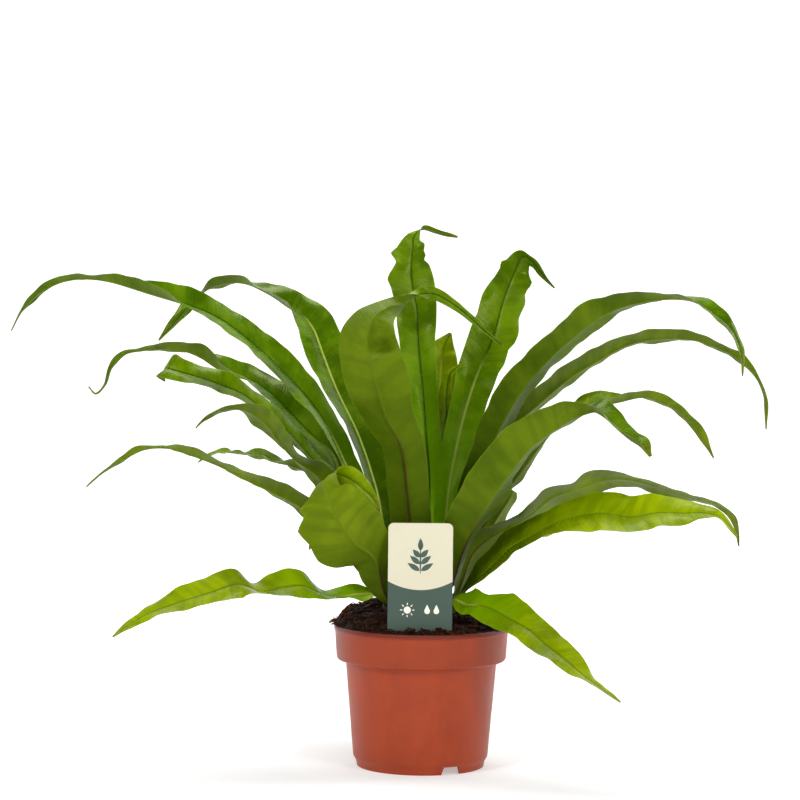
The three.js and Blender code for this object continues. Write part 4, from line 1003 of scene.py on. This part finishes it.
def make_frond(frond, looks, seed):
    """One closed blade with the values that its looks read."""
    rows = frond_rows(frond)
    columns = 2 * (BLADE_COLUMNS + 1) + 1
    vertices = []
    values = {"across": [], "out": [], "vein": [], "along": []}
    for row in rows:
        upper, lower, across, out, vein = blade_row(frond, row, seed)
        for points in (upper, lower):
            vertices.extend(map(tuple, np.clip(points, *cad_box)))
            values["across"].extend(across)
            values["out"].extend(out)
            values["vein"].extend(vein)
            values["along"].extend([row[4]] * columns)
    for name in ("tone", "pale_rib", "painted_foot_light"):
        values[name] = [getattr(frond, name)] * len(vertices)
    faces, face_slots = blade_faces(len(rows), columns)
    piece = add_piece(
        "leaf_" + frond.name, vertices, faces, looks, "frond_" + frond.name, face_slots)
    for name, numbers in values.items():
        set_values(piece, name, numbers)


def make_fronds():
    looks = [leaf_material("leaf_upper", UPPER_FACE), leaf_material("leaf_lower", UNDERSIDE)]
    for number, frond in enumerate(FRONDS):
        make_frond(frond, looks, number * SEED_STEP)


# Pot

def pot_profile():
    """The whole shell from the middle of its underside, round the rim, to the middle of its floor."""
    floor_top = FLOOR_UNDERSIDE + FLOOR_THICKNESS
    outside = [
        (0, 0), (PAD_RADIUS, 0), (PAD_RADIUS + 0.001, FLOOR_UNDERSIDE),
        (FOOT_RADIUS - WALL, FLOOR_UNDERSIDE), (FOOT_RADIUS - WALL, 0),
        (FOOT_RADIUS, 0), (FOOT_RADIUS + 0.0007, FOOT_HEIGHT),
        (BODY_FOOT_RADIUS, FOOT_HEIGHT + 0.003), (BODY_TOP_RADIUS, COLLAR_BOTTOM - 0.0015),
        (COLLAR_RADIUS - 0.001, COLLAR_BOTTOM - 0.0006), (COLLAR_RADIUS, COLLAR_BOTTOM + 0.0006),
        (RIM_RADIUS - BEAD_OUT, POT_HEIGHT - BEAD_HEIGHT - 0.0004), (RIM_RADIUS, POT_HEIGHT - BEAD_HEIGHT),
        (RIM_RADIUS, POT_HEIGHT - 0.0008), (RIM_RADIUS - 0.0008, POT_HEIGHT),
    ]
    inside = [
        (RIM_RADIUS - WALL - 0.0006, POT_HEIGHT), (RIM_RADIUS - WALL - 0.0009, POT_HEIGHT - 0.002),
        (COLLAR_RADIUS - WALL, COLLAR_BOTTOM + 0.002), (BODY_TOP_RADIUS - WALL, COLLAR_BOTTOM),
        (BODY_FOOT_RADIUS - WALL, floor_top + 0.0006), (BODY_FOOT_RADIUS - WALL - 0.001, floor_top),
        (0, floor_top),
    ]
    return outside + inside


def notch_corners(angle):
    """A wedge that cuts the foot ring, wider at the bottom than at the top."""
    corners = []
    low_width = NOTCH_FOOT_WIDTH - NOTCH_TOP_WIDTH / 2
    for height, width in ((-NOTCH_HEIGHT, low_width), (NOTCH_HEIGHT, NOTCH_TOP_WIDTH / 2)):
        for radius in (FOOT_RADIUS - NOTCH_DEPTH / 2, FOOT_RADIUS + NOTCH_DEPTH / 2):
            for side in (-width, width):
                corners.append(Matrix.Rotation(angle, 3, "Z") @ Vector((radius, side, height)))
    return corners


def pot_cutter():
    """The foot's notches and the drain holes as one mesh."""
    shape = bmesh.new()
    for i in range(FOOT_NOTCHES):
        corners = notch_corners(math.radians(FIRST_NOTCH_ANGLE + i * 360 / FOOT_NOTCHES))
        made = [shape.verts.new(corner) for corner in corners]
        bmesh.ops.convex_hull(shape, input=made)
    for i in range(DRAIN_HOLES):
        angle = math.radians((i + 0.5) * 360 / DRAIN_HOLES)
        middle = Vector((DRAIN_RING * math.cos(angle), DRAIN_RING * math.sin(angle), FLOOR_UNDERSIDE))
        bmesh.ops.create_cone(
            shape, cap_ends=True, segments=32, radius1=DRAIN_RADIUS, radius2=DRAIN_RADIUS,
            depth=DRAIN_CUT_DEPTH, matrix=Matrix.Translation(middle))
    mesh = bpy.data.meshes.new("pot_cutter")
    shape.to_mesh(mesh)
    shape.free()
    return add_object("pot_cutter", mesh)


def make_pot():
    """The moulded shell with its foot cut through by notches and its floor by drain holes."""
    vertices, faces = turned(rounded(pot_profile(), POT_ROUNDING), POT_SIDES)
    pot = add_piece("pot_shell", vertices, faces, [pot_material()], "pot")
    cut(pot, pot_cutter())
    pot.data.set_sharp_from_angle(angle=math.radians(40))


# Soil

def soil_height(radius, angle):
    """Height of the mound without its crumbs: steep at the left, with a dip in front of the tag."""
    front = (1 - math.sin(angle)) / 2
    left = max(0, -math.cos(angle))
    rise = SOIL_RISE_BACK + (SOIL_RISE_FRONT - SOIL_RISE_BACK) * front
    steepness = SOIL_STEEPNESS_BACK + (SOIL_STEEPNESS_FRONT - SOIL_STEEPNESS_BACK) * front
    steepness += SOIL_STEEPNESS_LEFT * left ** 2
    dip = SOIL_DIP * front ** 8 * min(1, radius / SOIL_DIP_RADIUS) ** 4
    return SOIL_EDGE_Z + rise * (1 - min(1, radius / (RIM_RADIUS - WALL)) ** steepness) - dip


def soil_surface(x, y):
    """Height of the lumpy surface at a point."""
    radius = math.hypot(x, y)
    base = soil_height(radius, math.atan2(y, x))
    place = Vector((x, y, 0))
    lumps = noise.fractal(place * LUMPS_PER_METRE, 1.0, 2.1, 3)
    grains = noise.fractal(place * GRAINS_PER_METRE + Vector((7, 3, 1)), 0.9, 2.2, 3)
    calm = min(1, max(0, (RIM_RADIUS - WALL - radius) / 0.006))
    return base + (LUMP_HEIGHT * lumps + GRAIN_HEIGHT * grains) * (0.35 + 0.65 * calm)


def make_soil():
    """The peat that fills the pot, with a rough mounded top."""
    inner = WALL + ROOM
    floor_top = FLOOR_UNDERSIDE + FLOOR_THICKNESS + ROOM
    top_radius = RIM_RADIUS - inner - 0.0009
    walls = [
        (BODY_FOOT_RADIUS - inner - 0.001, floor_top), (BODY_FOOT_RADIUS - inner, floor_top + 0.0006),
        (BODY_TOP_RADIUS - inner, COLLAR_BOTTOM), (COLLAR_RADIUS - inner - 0.0001, COLLAR_BOTTOM + 0.0024),
    ]
    top = [(top_radius * (1 - k / SOIL_RINGS), 0) for k in range(SOIL_RINGS + 1)]
    vertices, faces = turned([(0, floor_top), *walls, *top], SOIL_SIDES)
    first_top = 1 + len(walls) * SOIL_SIDES
    placed = vertices[:first_top]
    placed += [(x, y, soil_surface(x, y)) for x, y, _ in vertices[first_top:]]
    look = soil_material("peat", PEAT, 700.0)
    add_piece("soil_mound", placed, faces, [look], "soil", sharp=80)


def scattered(draw, inner, outer):
    """A random place on the mound, more often near its edge and in its front half, where it can be seen."""
    radius = inner + (outer - inner) * math.sqrt(draw.random())
    angle = draw.uniform(0, 2 * math.pi)
    if draw.random() < 0.5:
        angle = math.pi + angle % math.pi
    return radius * math.cos(angle), radius * math.sin(angle)


def ball(detail):
    """Vertices and faces of a unit ball of triangles."""
    shape = bmesh.new()
    bmesh.ops.create_icosphere(shape, subdivisions=detail, radius=1)
    shape.verts.index_update()
    vertices = np.array([vertex.co for vertex in shape.verts])
    faces = np.array([[vertex.index for vertex in face.verts] for face in shape.faces])
    shape.free()
    return vertices, faces


def make_bits(name, look, seed, sizes, flat, inner):
    """Angular bits, each turned, squeezed and dented at random, half sunk in the mound."""
    draw = np.random.default_rng(seed)
    chance = random.Random(seed)
    balls = {detail: ball(detail) for detail in (1, 2)}
    vertices, faces, count = [], [], 0
    for size in sizes:
        x, y = scattered(chance, inner, LITTER_RADIUS)
        if y < TAG_Y and abs(x - TAG_CENTRE_X) < TAG_WIDTH / 2:
            size = min(size, CRUMB_BEFORE_TAG)
        points, around = balls[2 if size > FINE_BIT else 1]
        squeeze = np.array([1, draw.uniform(0.5, 0.9), flat * draw.uniform(0.6, 1.0)])
        dented = points * squeeze * (1 + draw.uniform(-0.32, 0.32, (len(points), 1)))
        facing = Matrix.Rotation(draw.uniform(0, 6.28), 3, "Z")
        lean = Matrix.Rotation(draw.uniform(-0.5, 0.5), 3, "X")
        middle = np.array([x, y, soil_surface(x, y) + size * flat * 0.3])
        vertices.append(dented @ np.array(facing @ lean).T * size + middle)
        faces.append(around + count)
        count += len(points)
    add_piece(name, np.concatenate(vertices), np.concatenate(faces), [look], sharp=30)


def make_crumbs():
    look = soil_material("crumbs", CRUMB, 900.0)
    draw = random.Random(LITTER_SEEDS["crumbs"])
    sizes = [draw.choice(CRUMB_SIZES) for _ in range(CRUMBS)]
    make_bits("soil_crumbs", look, LITTER_SEEDS["crumbs"], sizes, flat=0.7, inner=0.018)


def make_chips():
    look = soil_material("bark_chips", BARK, 800.0)
    draw = random.Random(LITTER_SEEDS["chips"])
    sizes = [draw.uniform(*CHIP_SIZES) for _ in range(CHIPS)]
    make_bits("soil_bark_chips", look, LITTER_SEEDS["chips"], sizes, flat=0.24, inner=0.02)


def add_strand(vertices, faces, points, radius):
    """A thin three-sided strand along some points, drawn to a tip at both ends."""
    first = len(vertices)
    count = len(points)
    for k, point in enumerate(points):
        ahead = (points[min(k + 1, count - 1)] - points[max(k - 1, 0)]).normalized()
        side = ahead.cross(Vector((0, 0, 1))).normalized()
        up = side.cross(ahead)
        size = radius * (0.35 + 0.65 * math.sin(math.pi * (k + 0.5) / count))
        for angle in (0.5, 2.6, 4.7):
            vertices.append(tuple(point + (side * math.cos(angle) + up * math.sin(angle)) * size))
    for k in range(count - 1):
        low, high = first + 3 * k, first + 3 * k + 3
        for i in range(3):
            j = (i + 1) % 3
            faces.append((low + i, low + j, high + j, high + i))
    faces.append((first + 2, first + 1, first))
    last = first + 3 * (count - 1)
    faces.append((last, last + 1, last + 2))


def loose_fibres(draw, vertices, faces):
    """Peat fibres that lie over the mound, some with one end in the air."""
    for _ in range(FIBRES):
        x, y = scattered(draw, 0.02, RIM_RADIUS - 0.004)
        way = draw.uniform(0, 2 * math.pi)
        length = draw.uniform(*FIBRE_LENGTHS)
        bend = draw.uniform(-2.2, 2.2)
        rise = draw.uniform(0, FIBRE_END_RISE) if draw.random() < 0.4 else 0.0004
        points = []
        for k in range(FIBRE_STEPS + 1):
            share = k / FIBRE_STEPS
            turned_way = way + bend * share
            x += math.cos(turned_way) * length / FIBRE_STEPS
            y += math.sin(turned_way) * length / FIBRE_STEPS
            if math.hypot(x, y) > RIM_RADIUS - 0.003:
                break
            points.append(Vector((x, y, soil_surface(x, y) + 0.0003 + rise * share)))
        if len(points) > 3:
            add_strand(vertices, faces, points, draw.uniform(*FIBRE_THICKNESSES))


def spilled_fibres(draw, vertices, faces):
    """A tuft of coarse fibres that hangs out over the rim at the left."""
    for _ in range(SPILLED_FIBRES):
        angle = math.radians(draw.uniform(*SPILL_ANGLES))
        start = draw.uniform(*SPILL_STARTS)
        length = draw.uniform(*SPILL_LENGTHS)
        bend = draw.uniform(-0.09, 0.09)
        lift = draw.uniform(*SPILL_LIFTS)
        points = []
        for k in range(FIBRE_STEPS + 1):
            share = k / FIBRE_STEPS
            radius = start + length * share
            way = angle + bend * share
            x, y = radius * math.cos(way), radius * math.sin(way)
            floor = max(soil_surface(x, y), POT_HEIGHT) if radius < RIM_RADIUS else POT_HEIGHT
            points.append(Vector((x, y, floor + 0.0005 + lift * math.sin(math.pi * share * 0.9))))
        add_strand(vertices, faces, points, draw.uniform(*SPILL_THICKNESSES))


def make_fibres():
    look = soil_material("fibres", FIBRE, 500.0)
    draw = random.Random(LITTER_SEEDS["fibres"])
    vertices, faces = [], []
    loose_fibres(draw, vertices, faces)
    spilled_fibres(draw, vertices, faces)
    add_piece("soil_fibres", vertices, faces, [look], sharp=80)


# Crown

def crown_height(radius):
    """Height of the rootstock's domed top."""
    share = min(1, radius / CROWN_RADIUS)
    return CROWN_TOP_Z - (CROWN_TOP_Z - CROWN_EDGE_Z) * share ** CROWN_DOME


def make_crown():
    """The rootstock with narrow dry scales that stand up between the stems."""
    profile = [(0, CROWN_BOTTOM), (CROWN_RADIUS, CROWN_BOTTOM), (CROWN_RADIUS, CROWN_EDGE_Z - 0.003)]
    for k in range(CROWN_RINGS + 1):
        radius = CROWN_RADIUS * (1 - k / CROWN_RINGS)
        profile.append((radius, crown_height(radius)))
    vertices, faces = turned(profile, CROWN_SIDES)
    for i, vertex in enumerate(map(Vector, vertices)):
        bump = noise.noise_vector(vertex * CROWN_BUMPS_PER_METRE) * CROWN_ROUGHNESS
        vertices[i] = tuple(vertex + bump)
    draw = random.Random(CROWN_SEED)
    for _ in range(CROWN_SCALES):
        radius = CROWN_RADIUS * math.sqrt(draw.random()) * 0.96
        angle = draw.uniform(0, 2 * math.pi)
        foot = Vector((radius * math.cos(angle), radius * math.sin(angle), crown_height(radius) - 0.0005))
        lean = Vector((math.cos(angle), math.sin(angle), 0)) * draw.uniform(0.1, 0.8)
        length = draw.uniform(*SCALE_LENGTHS)
        points = [foot + (Vector((0, 0, 1)) + lean * k / 4).normalized() * length * k / 4 for k in range(5)]
        add_strand(vertices, faces, points, draw.uniform(*SCALE_THICKNESSES))
    add_piece("crown_rootstock", vertices, faces, [scale_material()], "crown", sharp=60)


# Plant tag

def tag_outline():
    """The card's outline seen from the front, from its point up and round."""
    half = TAG_WIDTH / 2
    points = [(TAG_POINT_HALF, TAG_POINT_Z), (half, TAG_SHOULDER_Z)]
    for side, first in ((1, 0), (-1, 90)):
        x, z = side * (half - TAG_CORNER), TAG_TOP_Z - TAG_CORNER
        for k in range(TAG_CORNER_STEPS + 1):
            angle = math.radians(first + k * 90 / TAG_CORNER_STEPS)
            points.append((x + TAG_CORNER * math.cos(angle), z + TAG_CORNER * math.sin(angle)))
    points += [(-half, TAG_SHOULDER_Z), (-TAG_POINT_HALF, TAG_POINT_Z)]
    return points


def flat_solid(outline, front, back):
    """A closed slab from an outline of (x, z) points, between two depths along Y."""
    count = len(outline)
    vertices = [(x, front, z) for x, z in outline] + [(x, back, z) for x, z in outline]
    faces = [tuple(range(count)), tuple(reversed(range(count, 2 * count)))]
    for i in range(count):
        j = (i + 1) % count
        faces.append((j, i, count + i, count + j))
    return vertices, faces


def make_tag():
    """The plain printed card."""
    outline = [(TAG_CENTRE_X + x, z) for x, z in tag_outline()]
    vertices, faces = flat_solid(outline, TAG_Y - TAG_THICKNESS / 2, TAG_Y + TAG_THICKNESS / 2)
    card = add_piece("tag_card", vertices, faces, [tag_material()], "plant_tag")
    bevel = card.modifiers.new("soft_edges", "BEVEL")
    bevel.width = TAG_EDGE_BEVEL
    bevel.segments = 2
    bevel.limit_method = "ANGLE"


def leaf_outline(foot, angle, length, width):
    """A pointed leaf outline in the card's plane."""
    points = []
    for side, shares in ((1, range(0, 11)), (-1, range(9, 0, -1))):
        for k in shares:
            share = k / 10
            out = side * width / 2 * math.sin(math.pi * share ** 0.8)
            points.append((
                foot[0] + length * share * math.cos(angle) - out * math.sin(angle),
                foot[1] + length * share * math.sin(angle) + out * math.cos(angle)))
    return points


def disc_outline(middle, radius, pull=0.0):
    """A disc, or a drop where its upper end is pulled to a point."""
    points = []
    for k in range(DISC_SIDES):
        angle = 2 * math.pi * k / DISC_SIDES
        pulled = max(0, math.sin(angle)) ** 4 if pull else 0
        x = radius * math.cos(angle) * (1 - 0.5 * pulled)
        z = radius * math.sin(angle) + pull * pulled
        points.append((middle[0] + x, middle[1] + z))
    return points


def sprig_outlines():
    """A plain sprig: a slim stem with three pairs of leaves and one at its tip."""
    upright = math.radians(90)
    stem = leaf_outline((TAG_CENTRE_X, SPRIG_FOOT_Z - 0.003), upright, 0.0215, 0.0011)
    outlines = [stem]
    for k, length in enumerate((0.0098, 0.0088, 0.0072)):
        height = SPRIG_FOOT_Z + SPRIG_LEAF_STEP * k
        for side in (-1, 1):
            angle = math.radians(90 - side * (58 - 8 * k))
            foot = (TAG_CENTRE_X + side * 0.0004, height)
            outlines.append(leaf_outline(foot, angle, length, SPRIG_LEAF_WIDTH))
    top = (TAG_CENTRE_X, SPRIG_FOOT_Z + 3 * SPRIG_LEAF_STEP)
    outlines.append(leaf_outline(top, upright, 0.0085, SPRIG_LEAF_WIDTH))
    return outlines


def care_outlines():
    """Plain care signs: a sun with rays and two drops."""
    outlines = [disc_outline(SUN_PLACE, SUN_RADIUS)]
    for k in range(SUN_RAYS):
        angle = 2 * math.pi * k / SUN_RAYS
        foot = (SUN_PLACE[0] + RAY_RING * math.cos(angle), SUN_PLACE[1] + RAY_RING * math.sin(angle))
        outlines.append(leaf_outline(foot, angle, 0.0019, 0.0007))
    for away in (0.0048, 0.011):
        outlines.append(disc_outline((TAG_CENTRE_X + away, DROP_Z), DROP_RADIUS, 0.0024))
    return outlines


def make_print(name, outlines, look):
    """Thin ink on the card's front face."""
    front = TAG_Y - TAG_THICKNESS / 2
    vertices, faces = [], []
    for outline in outlines:
        more, around = flat_solid(outline, front - PRINT_PROUD, front + PRINT_PROUD)
        start = len(vertices)
        vertices.extend(more)
        faces.extend(tuple(start + i for i in face) for face in around)
    add_piece(name, vertices, faces, [look])


# Stage, lights and camera

def stage_material():
    """A white surface that glows, less near the pot, so that a faint shadow shows there only."""
    material, tree, shader = new_material("pale_floor", 0.9, 0.05)
    place = place_in(tree)
    away = add_node(tree, "ShaderNodeVectorMath", {0: place}, operation="LENGTH").outputs["Value"]
    shade = cloud(tree, place, 1.2, 2.0)
    tree.links.new(mix_pair(tree, shade, PALE_FLOOR), shader.inputs["Base Color"])
    shader.inputs["Emission Color"].default_value = (1, 1, 1, 1)
    glow = spread(tree, away, GLOW_FROM, GLOW_FULL, GLOW_NEAR_POT, GLOW_FAR_OUT)
    tree.links.new(glow, shader.inputs["Emission Strength"])
    return material


def make_floor():
    """A pale floor that sweeps up behind the plant."""
    profile = [(-FLOOR_REACH, 0), (FLOOR_FAR, 0)]
    for k in range(1, SWEEP_STEPS + 1):
        angle = math.pi / 2 * k / SWEEP_STEPS
        profile.append((FLOOR_FAR + SWEEP_RADIUS * math.sin(angle), SWEEP_RADIUS * (1 - math.cos(angle))))
    profile.append((FLOOR_FAR + SWEEP_RADIUS, FLOOR_REACH))
    vertices = [(x, y, z) for y, z in profile for x in (-FLOOR_REACH, FLOOR_REACH)]
    faces = [(2 * i, 2 * i + 1, 2 * i + 3, 2 * i + 2) for i in range(len(profile) - 1)]
    mesh = bpy.data.meshes.new("studio_floor")
    mesh.from_pydata(vertices, [], faces)
    mesh.polygons.foreach_set("use_smooth", [True] * len(faces))
    mesh.materials.append(stage_material())
    add_object("studio_floor", mesh)


def add_softbox(name, place, size, power):
    """A rectangular lamp that faces the plant."""
    light = bpy.data.lights.new(name, "AREA")
    light.shape = "RECTANGLE"
    light.size, light.size_y = size
    light.energy = power
    lamp = add_object(name, light)
    lamp.location = place
    lamp.rotation_euler = (Vector(LIGHT_AIM) - Vector(place)).to_track_quat("-Z", "Y").to_euler()


def make_lights():
    world = bpy.data.worlds.new("studio")
    world.use_nodes = True
    sky = world.node_tree.nodes["Background"]
    sky.inputs["Color"].default_value = (1, 1, 1, 1)
    sky.inputs["Strength"].default_value = SKY_STRENGTH
    bpy.context.scene.world = world
    for name, place, size, power in SOFTBOXES:
        add_softbox(name, place, size, power)


def make_camera():
    camera = bpy.data.cameras.new("camera")
    camera.lens = CAMERA_LENS
    camera.sensor_width = SENSOR
    ahead = (CAMERA_AIM - CAMERA_PLACE).normalized()
    right = ahead.cross(Vector((0, 0, 1))).normalized()
    up = right.cross(ahead)
    rolled = Matrix((right, up, -ahead)).transposed() @ Matrix.Rotation(CAMERA_ROLL, 3, "Z")
    rig = add_object("camera", camera)
    rig.matrix_world = Matrix.Translation(CAMERA_PLACE) @ rolled.to_4x4()
    bpy.context.scene.camera = rig


make_camera()
make_lights()
make_floor()
make_pot()
make_soil()
make_crumbs()
make_chips()
make_fibres()
make_crown()
make_tag()
make_print("tag_sprig", sprig_outlines(), ink_material("dark_ink", DARK_INK))
make_print("tag_care_signs", care_outlines(), ink_material("pale_ink", PALE_INK))
make_fronds()
bpy.context.scene.view_settings.view_transform = "Standard"
